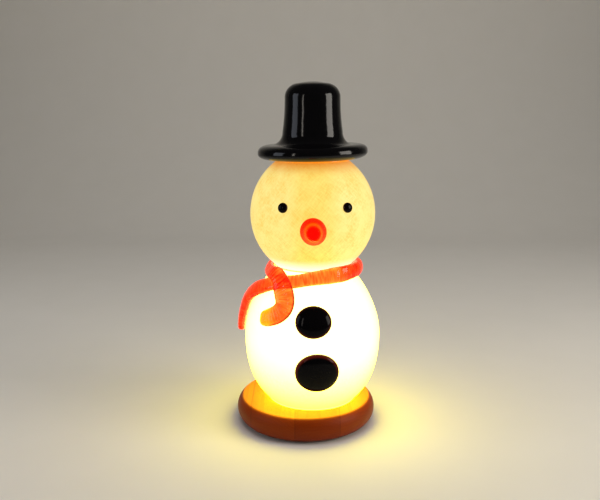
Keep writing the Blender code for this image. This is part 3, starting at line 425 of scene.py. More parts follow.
def weave(name, points, finish, ring=False, fields=None):
    """Mesh of a grid of points.

    The columns close on themselves. A row that shrinks to one point becomes a pole, and with ring the last
    row joins the first. Faces are turned by the sign of the enclosed volume, the sum over the faces of a
    third of corner dot (second corner cross third corner). Fields are numbers kept at each point.
    """
    rows, columns = points.shape[:2]
    ids = np.arange(rows * columns).reshape(rows, columns)
    for pole in (0, -1):
        if not ring and np.ptp(points[pole], axis=0).max() < POLE_WIDTH:
            ids[pole] = ids[pole, 0]
    near = ids if ring else ids[:-1]
    far = np.roll(ids, -1, axis=0) if ring else ids[1:]
    quads = np.stack((near, np.roll(near, -1, axis=1), np.roll(far, -1, axis=1), far), axis=-1).reshape(-1, 4)
    used, quads = np.unique(quads, return_inverse=True)
    quads = quads.reshape(-1, 4)
    flat = points.reshape(-1, 3)[used]
    first, second, third, fourth = (flat[quads[:, corner]] for corner in range(4))
    volume = np.einsum("ij,ij", first, np.cross(second, third) + np.cross(third, fourth))
    if volume < 0.0:
        quads = quads[:, ::-1]
    same = quads == np.roll(quads, -1, axis=1)
    folded = same.any(axis=1)
    corners = quads[folded][~same[folded]].reshape(-1, 3)
    mesh = bpy.data.meshes.new(name)
    mesh.from_pydata(flat.tolist(), [], quads[~folded].tolist() + corners.tolist())
    for label, values in (fields or {}).items():
        attribute = mesh.attributes.new(label, "FLOAT", "POINT")
        attribute.data.foreach_set("value", values.reshape(-1)[used].astype(np.float32))
    mesh.shade_smooth()
    mesh.set_sharp_from_angle(angle=SHARP_ANGLE)
    mesh.materials.append(finish)
    piece = bpy.data.objects.new(name, mesh)
    bpy.context.scene.collection.objects.link(piece)
    return piece


def place(piece, body, slot, *nodes):
    """Let a piece ride on a body and stand for CAD nodes, which are hidden. The slot is not used."""
    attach(piece, body)
    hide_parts(*nodes)


def spun(name, section, finish, body, slot, node, segments=SMALL_SEGMENTS, centre=FIGURE_AXIS):
    """Turn a section into a piece in its place. A section that starts off the axis closes on itself."""
    ring = section[0][0] > POLE_WIDTH
    place(weave(name, turned(section, segments, centre), finish, ring=ring), body, slot, node)


def bored(piece, cutter):
    """Take the cutter's volume away from a piece for good, and remove the cutter."""
    modifier = piece.modifiers.new(cutter.name, "BOOLEAN")
    modifier.operation = "DIFFERENCE"
    modifier.solver = "EXACT"
    modifier.object = cutter
    bpy.context.view_layer.update()
    graph = bpy.context.evaluated_depsgraph_get()
    whole = piece.data
    piece.data = bpy.data.meshes.new_from_object(piece.evaluated_get(graph))
    piece.modifiers.clear()
    piece.data.name = piece.name
    bpy.data.meshes.remove(whole)
    bpy.data.objects.remove(cutter)


def figure_outline(glass, heights):
    """Outer radius of the figure at each height: the wider of the body's and the head's superellipse."""
    above = np.clip((heights - glass.waist) / glass.body_rise, 0.0, 1.0)
    below = np.clip((glass.waist - heights) / glass.body_drop, 0.0, 1.0)
    upper = (1.0 - above**glass.body_rise_power) ** (1.0 / glass.body_rise_power)
    lower = (1.0 - below**glass.body_drop_power) ** (1.0 / glass.body_drop_power)
    from_middle = np.clip(np.abs(heights - glass.head_height) / glass.head_rise, 0.0, 1.0)
    return np.maximum(glass.body_radius * upper * lower, glass.head_radius * np.sqrt(1.0 - from_middle**2))


def on_glass(glass, azimuth, height):
    """Point of the figure at an azimuth and a height, and the direction straight out of it."""
    radii = figure_outline(glass, np.array((height - CLEARANCE, height, height + CLEARANCE)))
    slope = (radii[2] - radii[0]) / (2.0 * CLEARANCE)
    sideways = np.array((math.sin(azimuth), -math.cos(azimuth), 0.0))
    return FIGURE_AXIS + sideways * radii[1] + UP * height, unit(sideways - UP * slope)


def laid_on(glass, section, follow, point, forward, oval):
    """A turned section whose foot follows the curve of the glass.

    Each point starts beside the axis at its own radius, drawn out by the oval's matrix, and is moved along
    the axis until its distance from the figure's axis equals the figure's radius there. Follow says for
    each row how much of that move it takes, and the row's own height is added.
    """
    radius, height = section.T
    rings = turned(np.stack((radius, np.zeros_like(radius)), axis=-1), SMALL_SEGMENTS)
    rings[..., :2] = rings[..., :2] @ oval.T
    start = pointed(rings, point, forward)
    moved = np.zeros(start.shape[:2])
    for _ in range(DOME_SETTLING):
        there = start + moved[..., None] * forward - FIGURE_AXIS
        moved = moved - (np.hypot(there[..., 0], there[..., 1]) - figure_outline(glass, there[..., 2]))
    moved = follow[:, None] * (moved + CLEARANCE) + height[:, None]
    return start + moved[..., None] * forward


def about_axis(points):
    """Turn, radius and height of points about the figure's axis."""
    x, y, z = np.moveaxis(points - FIGURE_AXIS, -1, 0)
    return np.arctan2(y, x), np.hypot(x, y), z


def drawn_in(points, turn, loss):
    """Points moved level towards the figure's axis, each by its own loss."""
    return points - loss[..., None] * np.stack((np.cos(turn), np.sin(turn), np.zeros_like(turn)), axis=-1)


def threaded(points, pitch, depth, low, high):
    """Points with a screw thread: the radius loses depth (1 - cos(tau height / pitch - turn)) / 2."""
    turn, _, height = about_axis(points)
    band = eased(height, low, low + pitch / 2.0) * (1.0 - eased(height, high - pitch / 2.0, high))
    return drawn_in(points, turn, depth * band * (0.5 - 0.5 * np.cos(math.tau * height / pitch - turn)))


# Inputs that a kind of node takes in order, where they are not simply its first ones
ORDER = {
    "Mix": (0, 6, 7),  # factor and the two colours
    "TexNoise": ("Vector", "Scale", "Detail", "Roughness", "Distortion"),
    "TexWhiteNoise": ("W",),
    "Mapping": ("Vector", "Rotation", "Scale"),
    "Bump": ("Height", "Strength", "Distance"),
}
USUAL = {"Mix": {"data_type": "RGBA"}}  # settings of every node of a kind
SMOOTH = {"interpolation_type": "SMOOTHSTEP"}
UNTURNED = (0.0, 0.0, 0.0)


def fill(node, inputs):
    """Fill inputs of a node: with a value, a colour or its hex code, or by a link from a socket or a node."""
    for socket, value in inputs.items():
        entry = node.inputs[socket]
        if isinstance(value, bpy.types.Node):
            value = next(output for output in value.outputs if output.enabled)
        if isinstance(value, bpy.types.NodeSocket):
            node.id_data.links.new(value, entry)
        elif entry.type == "RGBA":
            entry.default_value = (*(linear(value) if isinstance(value, str) else value), 1.0)
        else:
            entry.default_value = value


def add(tree, kind, *inputs, **settings):
    """Add one node of a kind with its settings, and fill its inputs in order."""
    node = tree.nodes.new("ShaderNode" + kind)
    for setting, value in {**USUAL.get(kind, {}), **settings}.items():
        setattr(node, setting, value)
    fill(node, dict(zip(ORDER.get(kind, range(len(inputs))), inputs)))
    return node


def new_finish(name):
    """A new material, its shader, what adds a node to it, and the piece's own coordinates in metres."""
    finish = bpy.data.materials.new(name)
    finish.use_nodes = True
    node = partial(add, finish.node_tree)
    return finish, finish.node_tree.nodes["Principled BSDF"], node, node("TexCoord").outputs["Object"]


def per_mm(millimetres):
    """Scale of a pattern whose features are this many millimetres across."""
    return 1000.0 / millimetres


def body_opal(glass):
    """Opal glass, blown in a mould and etched satin, lit from inside.

    It gives the eye a belly of even light, a yellower foot where the bulb's light comes through more glass,
    a yellower edge where the eye looks along the opal layer, which the tinted coat stands for, and a faint
    cloud of fine fibres in that layer.
    """
    finish, shader, node, coordinates = new_finish("opal glass, blown and satin etched, white")
    height = node("SeparateXYZ", coordinates).outputs["Z"]
    lift = node("MapRange", height, BASE_HIGH.z + 0.006, glass.waist, **SMOOTH)
    glow = node("Mix", lift, glass.foot_glow, glass.belly_glow)
    fibres = node("TexNoise", coordinates, per_mm(2.2), 5.0, 0.65)
    clouds = node("MapRange", fibres, 0.35, 0.75, 0.0, 0.35)
    shader_inputs = {
        "Base Color": node("Mix", clouds, "#E8E2CC", "#CFC5A0"),
        "Roughness": node("MapRange", fibres, 0.0, 1.0, 0.34, 0.46),
        "IOR": 1.5,
        "Coat Weight": 1.0,
        "Coat Roughness": 0.4,
        "Coat IOR": 1.05,
        "Coat Tint": "#FFFBE2",
        "Emission Color": node("Mix", clouds, glow, "#F6EFCB", blend_type="MULTIPLY"),
        "Emission Strength": glass.body_strength,
    }
    fill(shader, shader_inputs)
    return finish


def head_opal(glass):
    """Opal glass, blown in a mould and etched satin, cream, lit from below.

    It gives the eye a head that is brightest at the chin, where painted light from the shoulders is added,
    more amber towards the hat and orange under its brim, with fine crossing fibres in the opal layer, a
    painted sheen that makes its glow paler towards the sides, and the pale bloom of etched glass towards its
    edge.
    """
    finish, shader, node, coordinates = new_finish("opal glass, blown and satin etched, cream")
    axes = node("SeparateXYZ", coordinates)
    height, middle = axes.outputs["Z"], glass.head_height
    lift = node("MapRange", height, middle - 0.040, middle + 0.030, **SMOOTH)
    upright = node("Mix", lift, glass.chin_glow, glass.brow_glow)
    # painted sheen: the glow is paler towards the sides of the head, as etched glass looks at a glancing view
    aside = node("Math", axes.outputs["X"], FIGURE_X, operation="SUBTRACT")
    aside = node("Math", aside, operation="ABSOLUTE")
    side_sheen = node("MapRange", aside, 0.006, 0.028, 0.0, 0.4, **SMOOTH)
    glow = node("Mix", side_sheen, upright, glass.side_sheen_glow)
    top = node("MapRange", height, middle + 0.036, middle + 0.051, **SMOOTH)
    shaded = node("Mix", top, glow, glass.crown_glow)
    # two lays of fibres, 1.2 mm wide and about 10 mm long, that cross at the angles they were wound at
    lays = []
    for lean in (math.radians(38.0), math.radians(-47.0)):
        wound = node("Mapping", coordinates, (0.0, lean, 0.0), vector_type="TEXTURE")
        drawn = node("Mapping", wound, UNTURNED, (1.0, 0.5, 0.12))
        lays.append(node("TexNoise", drawn, per_mm(1.2), 3.0, 0.5, 0.4))
    crossed = node("Math", *lays, operation="MULTIPLY")
    # the lays are thick in some places and thin in others, about 14 mm across
    uneven = node("TexNoise", coordinates, per_mm(14.0), 3.0)
    weight = node("MapRange", uneven, 0.35, 0.65, 0.45, 1.15)
    weighed = node("Math", crossed, weight, operation="MULTIPLY")
    fibres = node("MapRange", weighed, 0.05, 0.40)
    mottled = node("Mix", fibres, shaded, "#F6E6BC", blend_type="MULTIPLY")
    fibrous = node("Mix", fibres, "#927A48", "#7C6434")
    # the opal layer is paler towards the neck, where it takes the real light of the shoulders, and its
    # glow there is mixed whiter: painted light from the shoulders
    chin = node("MapRange", height, middle - 0.034, middle - 0.047, **SMOOTH)
    shader_inputs = {
        "Base Color": node("Mix", chin, fibrous, "#E6DEC4"),
        "Roughness": node("MapRange", crossed, 0.0, 1.0, 0.45, 0.6),
        "IOR": 1.5,
        "Sheen Weight": 0.3,
        "Sheen Roughness": 0.4,
        "Emission Color": node("Mix", chin, mottled, "#FFFBD8"),
        "Emission Strength": glass.head_strength,
    }
    fill(shader, shader_inputs)
    return finish


def black_glass(hat, name, gloss):
    """Opaque black glass, shaped hot and fire polished.

    It gives the eye deep black with few reflections, whose edges waver because the skin of the glass is
    never quite even, and a deep red rim where a dome lies thin enough on a lit globe to let light through.
    """
    finish, shader, node, coordinates = new_finish(name)
    waver = node("TexNoise", coordinates, per_mm(9.0), 2.0)
    thin = node("Attribute", attribute_name="thin").outputs["Fac"]
    shader_inputs = {
        "Base Color": node("Mix", waver, hat.black, "#0A080A"),
        "Roughness": 0.1,
        "IOR": 1.52,
        "Specular IOR Level": gloss,
        "Emission Color": node("Mix", thin, "#000000", "#561408"),
        "Emission Strength": 1.0,
        "Normal": node("Bump", waver, 0.18, 0.0008),
    }
    fill(shader, shader_inputs)
    return finish


def clear_glass(name, tint, density, ripple, streaks, glows, glow_strength, index):
    """Clear coloured glass, shaped hot by hand.

    It gives the eye light from the globes behind it, deeper in colour where the glass is thicker, yellower
    where it was drawn thin and where painted light lies on the same mask, a glow along the scarf's lower
    edge and a highlight round the nose's tip, bent and streaked by the marks of the tool that pressed it,
    and painted shade in dark lines where it was folded and along its free edges. The red glow is the light
    that runs along inside it, so that it shines where no globe lies behind it too. The index is lower than
    that of plain glass, because next to the lit globes the pieces show hardly any mirror image of them.
    """
    finish, shader, node, _ = new_finish(name)
    labels = ("along", "across", "thin", "fold")
    along, across, thin, fold = (node("Attribute", attribute_name=label).outputs["Fac"] for label in labels)
    way = node("CombineXYZ", along, across)
    stretched = node("Mapping", way, UNTURNED, (1.0, 0.12, 1.0))
    marks = node("TexNoise", stretched, per_mm(ripple), 3.0, 0.6)
    drawn = node("MapRange", marks, 0.4, 0.6)
    (pale, deep), (bright, dim) = streaks, glows
    # yellower where the glass was drawn thin, and where the same mask carries painted light: a glow along the
    # scarf's lower edge and a highlight round the nose's tip
    depth = node("Mix", thin, node("Mix", drawn, deep, pale), "#FFD646")
    lit = node("Mix", thin, node("Mix", drawn, dim, bright), "#F09A10")
    # painted shade: a dark line where the hot ribbon was folded and along its free edges, which bend the
    # light away
    shader_inputs = {
        "Base Color": node("Mix", fold, depth, "#0C0502"),
        "Roughness": 0.06,
        "IOR": index,
        "Transmission Weight": 1.0,
        "Emission Color": node("Mix", fold, lit, "#5A1E08"),
        "Emission Strength": glow_strength,
        "Normal": node("Bump", marks, 0.15, 0.0004),
    }
    fill(shader, shader_inputs)
    fill(finish.node_tree.nodes["Material Output"], {"Volume": node("VolumeAbsorption", tint, density)})
    return finish


def turned_wood(base):
    """Beech boards glued edge to edge, turned and oiled.

    It gives the eye year rings that run as stripes along the top and as low arcs across the end grain, a
    tone of its own for each board, fine dark flecks along the grain, and thin dark glue lines.
    """
    finish, shader, node, coordinates = new_finish("beech, glued boards, turned and oiled")
    x, y, z = node("SeparateXYZ", coordinates).outputs
    shifted = node("Math", x, base.board_seam, operation="SUBTRACT")
    boards = node("Math", shifted, base.board_width, operation="DIVIDE")
    inside = node("Math", boards, operation="FRACT")
    own = node("TexWhiteNoise", node("Math", boards, operation="FLOOR"), noise_dimensions="1D")
    # the middle of each board's rings lies 22 mm under the lamp's foot, in a place of its own along X
    heart = node("MapRange", own, 0.0, 1.0, 0.2, 0.8)
    sideways = node("Math", inside, heart, operation="SUBTRACT")
    sideways = node("Math", sideways, base.board_width, operation="MULTIPLY")
    deep = node("Math", z, 0.022, operation="ADD")
    # the rings wander by up to 4 mm, in waves of 18 mm that run about eight times as long along the grain
    wander = node("Math", y, 0.12, operation="MULTIPLY")
    log = node("CombineXYZ", sideways, deep, wander)
    waves = node("TexNoise", log, per_mm(18.0), 2.0)
    flat_log = node("VectorMath", log, (1.0, 1.0, 0.0), operation="MULTIPLY")
    radius = node("VectorMath", flat_log, operation="LENGTH")
    bend = node("MapRange", waves, 0.0, 1.0, -0.004, 0.004)
    ring = node("Math", radius, bend, operation="ADD")
    # year rings of beech, 2.4 mm apart
    years = node("Math", ring, per_mm(2.4), operation="MULTIPLY")
    season = node("Math", years, operation="FRACT")
    late = node("Math", season, 2.2, operation="POWER")
    # flecks 0.5 mm wide and 6 mm long; real ones are finer and would not show
    fleck_way = node("Mapping", coordinates, UNTURNED, (1.0, 0.08, 1.0))
    flecks = node("TexNoise", fleck_way, per_mm(0.5), 2.0, 0.7)
    dark = node("MapRange", flecks, 0.52, 0.74, 0.0, 0.4)
    grain = node("Math", late, 0.25, operation="MULTIPLY")
    grain = node("Math", grain, dark, operation="MAXIMUM")
    wood = node("Mix", grain, base.wood_light, base.wood_dark)
    tone = node("MapRange", own, 0.0, 1.0, 0.0, 0.9)
    board = node("Mix", tone, wood, "#D9C2A8", blend_type="MULTIPLY")
    # glue line about 0.4 mm wide, measured as a share of the board
    edge = node("Math", inside, 0.5, operation="SUBTRACT")
    edge = node("Math", edge, operation="ABSOLUTE")
    glue = node("MapRange", edge, 0.492, 0.498, 0.0, 0.6)
    glued = node("Mix", glue, board, "#4A2A12")
    # painted shade: the turned side is darker than the top, which takes the light of the globe above it
    side_shade = node("MapRange", z, BASE_HIGH.z - 0.0002, BASE_HIGH.z - 0.0012)
    shader_inputs = {
        "Base Color": node("Mix", side_shade, glued, "#AB7666", blend_type="MULTIPLY"),
        "Roughness": node("MapRange", flecks, 0.0, 1.0, 0.36, 0.56),
        "IOR": 1.5,
        "Specular IOR Level": 0.12,
        "Normal": node("Bump", dark, 0.25, -0.0002),
    }
    fill(shader, shader_inputs)
    return finish


def grained(name, light, dark, millimetres, roughness, metallic=0.0, bump=0.1, sheen=0.0):
    """A finish with a fine random grain between two tones.

    The grain is noise of the given size; it shades the colour, breaks up the gloss and lifts the skin, so
    that the eye sees cast, pressed or moulded matter and not paint.
    """
    finish, shader, node, coordinates = new_finish(name)
    grain = node("TexNoise", coordinates, per_mm(millimetres), 4.0, 0.6)
    shader_inputs = {
        "Base Color": node("Mix", grain, light, dark),
        "Roughness": node("MapRange", grain, 0.0, 1.0, 0.8 * roughness, min(1.0, 1.2 * roughness)),
        "Metallic": metallic,
        "Sheen Weight": sheen,
        "Normal": node("Bump", grain, bump, 0.0002),
    }
    fill(shader, shader_inputs)
    return finish


def bulb_opal(bulb):
    """Frosted polycarbonate, moulded, lit from inside.

    It gives the eye an even warm globe of light, a little deeper towards its foot where the lamp's board
    shades it.
    """
    finish, shader, node, coordinates = new_finish("opal polycarbonate, moulded and frosted")
    height = node("SeparateXYZ", coordinates).outputs["Z"]
    lift = node("MapRange", height, DIFFUSER_LOW.z, DIFFUSER_LOW.z + 0.014, **SMOOTH)
    glow = node("Mix", lift, "#E0B070", bulb.glow)
    frost = node("TexNoise", coordinates, per_mm(0.8), 2.0)
    shader_inputs = {
        "Base Color": glow,
        "Roughness": node("MapRange", frost, 0.0, 1.0, 0.4, 0.6),
        "IOR": 1.58,
        "Emission Color": glow,
        "Emission Strength": bulb.glow_strength,
    }
    fill(shader, shader_inputs)
    return finish


def zinc_steel():
    """Steel sheet and bar, zinc plated: grey, softly spangled, half dull."""
    return grained("steel, zinc plated", "#C9CBCB", "#A9ACAD", 1.8, 0.38, metallic=1.0, bump=0.05)


def pressed_brass():
    """Brass sheet, pressed: warm yellow with faint drawing marks."""
    return grained("brass, pressed", "#E2BE6C", "#C79A48", 1.2, 0.28, metallic=1.0, bump=0.05)


def nickel_brass():
    """Brass, nickel plated: pale warm grey and bright."""
    return grained("brass, nickel plated", "#CFC9BE", "#B4AEA3", 1.0, 0.22, metallic=1.0, bump=0.04)


def black_thermoplastic():
    """Thermoplastic, moulded with a fine spark-eroded grain: black and half dull."""
    return grained("black thermoplastic, moulded", "#1C1C1D", "#121213", 0.7, 0.45, bump=0.2)


def white_thermoplastic():
    """Thermoplastic, moulded: white, with a soft gloss."""
    return grained("white thermoplastic, moulded", "#EFEEEA", "#E3E1DB", 0.9, 0.35, bump=0.08)


def glazed_porcelain():
    """Porcelain, glazed: warm white, glossy, a little uneven."""
    return grained("porcelain, glazed", "#F2EFE8", "#E6E1D6", 6.0, 0.16, bump=0.05)


def wool_felt():
    """Wool felt, pressed: green and dull, with a nap that catches light at its edge."""
    return grained("wool felt, pressed", "#3B5646", "#24372C", 0.9, 0.95, bump=0.6, sheen=0.4)


def soft_silicone():
    """Silicone, moulded: milky and soft, with a dull skin."""
    return grained("clear silicone, moulded", "#E4E0D2", "#CFC9B8", 1.5, 0.5, bump=0.1)


def clear_adhesive():
    """Silicone adhesive, drawn in a thin bead and cured clear.

    It gives the eye the orange of the lit glass that it lies on, whose light runs up into it, in a soft wet
    gloss.
    """
    finish, shader, node, coordinates = new_finish("silicone adhesive, cured clear")
    drawn = node("TexNoise", coordinates, per_mm(2.5), 2.0)
    shader_inputs = {
        "Base Color": node("Mix", drawn, "#FFE9C8", "#F2C892"),
        "Roughness": 0.25,
        "IOR": 1.41,
        "Transmission Weight": 1.0,
        "Emission Color": node("Mix", drawn, "#EA8A18", "#DE7408"),
        "Emission Strength": 0.5,
    }
    fill(shader, shader_inputs)
    return finish


class SNOWMAN_OT_base(Operator):
    """Turn the wooden base with its groove and wiring space, and set the bush and the gasket in it."""

    bl_idname = "snowman_lamp.base"
    bl_label = "Wooden Base"

    def execute(self, context):
        """Section round the base's axis outside and round the figure's axis inside, then the cord hole."""
        base = context.scene.snowman_lamp.base
        low, high = BASE_LOW.z, BASE_HIGH.z
        half = (high - low) / 2.0
        arc_radius = (half**2 + base.bulge**2) / (2.0 * base.bulge)
        angles = np.linspace(1.0, -1.0, 11) * math.asin(half / arc_radius)
        across = base.radius - arc_radius * (1.0 - np.cos(angles))
        side = np.stack((across, low + half + arc_radius * np.sin(angles), np.zeros_like(angles)), axis=-1)
        groove_out = half_width(GASKET_LOW, GASKET_HIGH) + CLEARANCE
        groove_in = groove_out - base.groove_width
        floor = GASKET_LOW.z - CLEARANCE
        tube_hole = half_width(NIPPLE_LOW, NIPPLE_HIGH) + CLEARANCE
        plate_hole = half_width(PLATE_LOW, PLATE_HIGH) + CLEARANCE
        rebate = PLATE_HIGH.z + CLEARANCE
        inside = [
            (plate_hole, low),
            (plate_hole, rebate),
            (base.cavity_radius, rebate),
            (base.cavity_radius, base.cavity_roof),
            (tube_hole, base.cavity_roof),
            (tube_hole, high),
            (groove_in, high),
            (groove_in, floor),
            (groove_out, floor),
            (groove_out, high),
        ]
        inside = [(radius, height, FIGURE_X) for radius, height in inside]
        section = softened(np.vstack((side, inside)), base.edge_round)
        points = turned(section[:, :2], GLASS_SEGMENTS)
        points[..., 0] += section[:, None, 2]
        wood = weave("wooden_base", points, turned_wood(base), ring=True)

        flange = base.bush_flange + CLEARANCE
        outlet = np.array((0.0, BUSH_HIGH.y - flange, (BUSH_LOW.z + BUSH_HIGH.z) / 2.0))
        backwards = np.array((0.0, 1.0, 0.0))
        rim = half_width(BUSH_LOW, BUSH_HIGH)
        hole_end = base.cavity_radius / 2.0 - outlet[1]
        hole = [
            (0.0, base.radius),
            (rim + CLEARANCE, base.radius),
            (rim + CLEARANCE, 0.0),
            (base.cord_hole_radius, 0.0),
            (base.cord_hole_radius, hole_end),
            (0.0, hole_end),
        ]
        # two segments more, so that no corner of the hole falls on a corner of the base
        hole_points = pointed(turned(hole, SMALL_SEGMENTS + 2), outlet, backwards)
        bored(wood, weave("cord_cutter", hole_points, wood.data.materials[0]))
        place(wood, "base", "beech", "wood_base")

        sleeve, sleeve_end = base.cord_hole_radius - CLEARANCE, BUSH_LOW.y - outlet[1]
        bush = [
            (base.cord_bore_radius, flange),
            (rim, flange),
            (rim, CLEARANCE),
            (sleeve, CLEARANCE),
            (sleeve, sleeve_end),
            (base.cord_bore_radius, sleeve_end),
        ]
        bush_points = pointed(turned(softened(bush, radius=0.0006), SMALL_SEGMENTS), outlet, backwards)
        bush = weave("bush_of_cord", bush_points, black_thermoplastic(), ring=True)
        place(bush, "base", "black_plastic", "cord_bush")

        gasket = rectangle(groove_in + CLEARANCE, groove_out - CLEARANCE, GASKET_LOW.z, GASKET_HIGH.z)
        gasket = softened(gasket, radius=0.0003)
        spun("gasket_of_groove", gasket, soft_silicone(), "base", "silicone", "rim_gasket", GLASS_SEGMENTS)
        return {"FINISHED"}


class SNOWMAN_OT_underside(Operator):
    """Lay the felt pad, and give the plate, its screws and the threaded tube their zinc."""

    bl_idname = "snowman_lamp.underside"
    bl_label = "Underside"

    def execute(self, context):
        """Felt as a turned disc with soft edges; the steel pieces keep their shape."""
        disc = rectangle(0.0, half_width(FELT_LOW, FELT_HIGH), FELT_LOW.z, FELT_HIGH.z)
        disc = softened(disc, radius=0.0009, closed=False)
        spun("pad_of_felt", disc, wool_felt(), "base", "felt", "felt_pad", GLASS_SEGMENTS, BASE_AXIS)
        steel = zinc_steel()
        screws = [f"plate_screw_{number}" for number in (1, 2, 3)]
        for name in ("bottom_plate", "nipple", "nipple_nut", "nipple_washer", *screws):
            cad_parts[name].data.materials[0] = steel
        return {"FINISHED"}


class SNOWMAN_OT_lampholder(Operator):
    """Build the lampholder: its cap, fluted sleeve, porcelain insert, screw shell and contact."""

    bl_idname = "snowman_lamp.lampholder"
    bl_label = "Lampholder"

    def execute(self, context):
        """Turned sections; the sleeve's radius is eased in and out by flutes, the shell's by its thread."""
        bulb = context.scene.snowman_lamp.bulb
        plastic = black_thermoplastic()
        outer = half_width(CAP_LOW, CAP_HIGH)
        hole = half_width(NIPPLE_LOW, NIPPLE_HIGH) + CLEARANCE
        foot = (outer - bulb.holder_shoulder / 2.0, CAP_LOW.z)
        ledge, floor = outer - bulb.holder_ledge, CAP_LOW.z + bulb.holder_wall
        cap = [(ledge, CAP_HIGH.z), (ledge, floor), (hole, floor), (hole, CAP_LOW.z), foot]
        shoulder = quarter_turn(foot, (outer, CAP_LOW.z + bulb.holder_shoulder), True, 8)
        cap = softened(np.vstack((cap, shoulder, [(outer, CAP_HIGH.z)])), radius=0.0004)
        spun("lampholder_cap", cap, plastic, "base", "black_plastic", "holder_cap")

        shell_out = half_width(SHELL_LOW, SHELL_HIGH)
        mouth = shell_out + CLEARANCE
        wall, lip = outer - bulb.holder_wall, SLEEVE_HIGH.z - bulb.holder_wall
        grip_low, grip_high = SLEEVE_LOW.z + 0.004, SLEEVE_HIGH.z - 0.005
        sleeve = [
            (wall, SLEEVE_LOW.z),
            (outer, SLEEVE_LOW.z),
            (outer, grip_low),
            (outer, grip_high),
            (outer, SLEEVE_HIGH.z),
            (mouth, SLEEVE_HIGH.z),
            (mouth, lip),
            (wall, lip),
        ]
        points = turned(softened(sleeve, radius=0.0008), 2 * SMALL_SEGMENTS, FIGURE_AXIS)
        turn, radius, height = about_axis(points)
        fade = 0.001  # of the flutes towards their ends
        band = eased(height, grip_low - fade, grip_low + fade)
        band = band * (1.0 - eased(height, grip_high - fade, grip_high + fade))
        band = band * eased(radius, outer - fade, outer - 0.2 * fade)
        flutes = band * bulb.flute_depth * (0.5 - 0.5 * np.cos(round(bulb.flute_count) * turn))
        sleeve = weave("lampholder_sleeve", drawn_in(points, turn, flutes), plastic, ring=True)
        place(sleeve, "base", "black_plastic", "holder_sleeve")

        floor = SHELL_LOW.z - CLEARANCE
        radius = half_width(INSERT_LOW, INSERT_HIGH)
        insert = [(0.0, floor), (mouth, floor), (mouth, INSERT_HIGH.z), (radius, INSERT_HIGH.z)]
        insert += [(radius, INSERT_LOW.z), (0.0, INSERT_LOW.z)]
        insert = softened(insert, radius=0.0005, closed=False)
        spun("lampholder_insert", insert, glazed_porcelain(), "base", "porcelain", "holder_insert")

        brass = pressed_brass()
        low, high = SHELL_LOW.z, SHELL_HIGH.z
        heights = np.linspace(low, high, 110)
        outside = np.stack((np.full_like(heights, shell_out), heights), axis=-1)
        shell = np.vstack((outside, outside[::-1] - (bulb.shell_wall, 0.0)))
        points = turned(shell, SMALL_SEGMENTS, FIGURE_AXIS)
        points = threaded(points, bulb.thread_pitch, bulb.shell_press, low, high)
        place(weave("lampholder_shell", points, brass, ring=True), "base", "brass", "holder_screw_shell")
        low, high = SEAT_CONTACT_LOW, SEAT_CONTACT_HIGH
        dome = quarter(half_width(low, high), high.z - low.z, 2.4, 0.0, 14)[::-1] + (0.0, low.z)
        dome = np.vstack((dome, [(0.0, low.z)]))
        spun("lampholder_contact", dome, brass, "base", "brass", "holder_contact")
        return {"FINISHED"}


class SNOWMAN_OT_bulb(Operator):
    """Build the small screw bulb from its contact up to its opal globe."""

    bl_idname = "snowman_lamp.bulb"
    bl_label = "Bulb"

    def execute(self, context):
        """Turned sections; the cap's radius loses its thread as a helix."""
        settings = context.scene.snowman_lamp
        bulb = settings.bulb
        nickel = nickel_brass()
        low, high = TIP_CONTACT_LOW, TIP_CONTACT_HIGH
        tip = quarter(half_width(low, high), high.z - low.z, 2.0, 0.0, 12) * (1.0, -1.0) + (0.0, high.z)
        spun("bulb_tip", np.vstack(([(0.0, high.z)], tip)), nickel, "bulb", "nickel", "bulb_contact")

        low, high = INSULATOR_LOW, INSULATOR_HIGH
        foot = [(0.0, high.z), (half_width(low, high), high.z), (bulb.insulator_foot, low.z), (0.0, low.z)]
        foot = softened(foot, radius=0.0003, closed=False)
        black = black_glass(settings.hat, "black glass, pressed, of the bulb", 0.3)
        spun("bulb_glass_foot", foot, black, "bulb", "black_glass", "bulb_insulator")

        low, high = SCREW_CAP_LOW, SCREW_CAP_HIGH
        flare = half_width(low, high)
        step = bulb.cap_flare
        heights = np.linspace(high.z - 2.0 * step, low.z + step, 90)
        shank = np.stack((np.full_like(heights, flare - step), heights), axis=-1)
        rim_edge = high.z - 0.0004
        rim = [(0.0, high.z), (flare, high.z), (flare, rim_edge)]
        cap = np.vstack((rim, shank, [(flare - 2.0 * step, low.z), (0.0, low.z)]))
        points = turned(cap, SMALL_SEGMENTS, FIGURE_AXIS)
        thread_low, thread_high = low.z + 0.0010, high.z - 0.0022
        points = threaded(points, bulb.thread_pitch, bulb.thread_depth, thread_low, thread_high)
        place(weave("bulb_screw_cap", points, nickel), "bulb", "nickel", "bulb_cap")

        low, high = COLLAR_LOW, COLLAR_HIGH
        edge = (half_width(low, high), high.z)
        flank = quarter_turn(edge, (bulb.collar_foot, low.z), False, 24)
        collar = np.vstack(([(0.0, high.z), edge], flank, [(0.0, low.z)]))
        collar = softened(collar, radius=0.0005, closed=False)
        spun("bulb_collar_shell", collar, white_thermoplastic(), "bulb", "white_plastic", "bulb_collar")

        low, high = DIFFUSER_LOW, DIFFUSER_HIGH
        radius = half_width(low, high)
        middle = high.z - radius
        angles = np.linspace(math.pi / 2.0, math.asin((low.z - middle) / radius), 60)
        globe = np.stack((radius * np.cos(angles), middle + radius * np.sin(angles)), axis=-1)
        globe = np.vstack((globe, [(0.0, low.z)]))
        spun("bulb_globe", globe, bulb_opal(bulb), "bulb", "opal_diffuser", "bulb_diffuser")
        return {"FINISHED"}


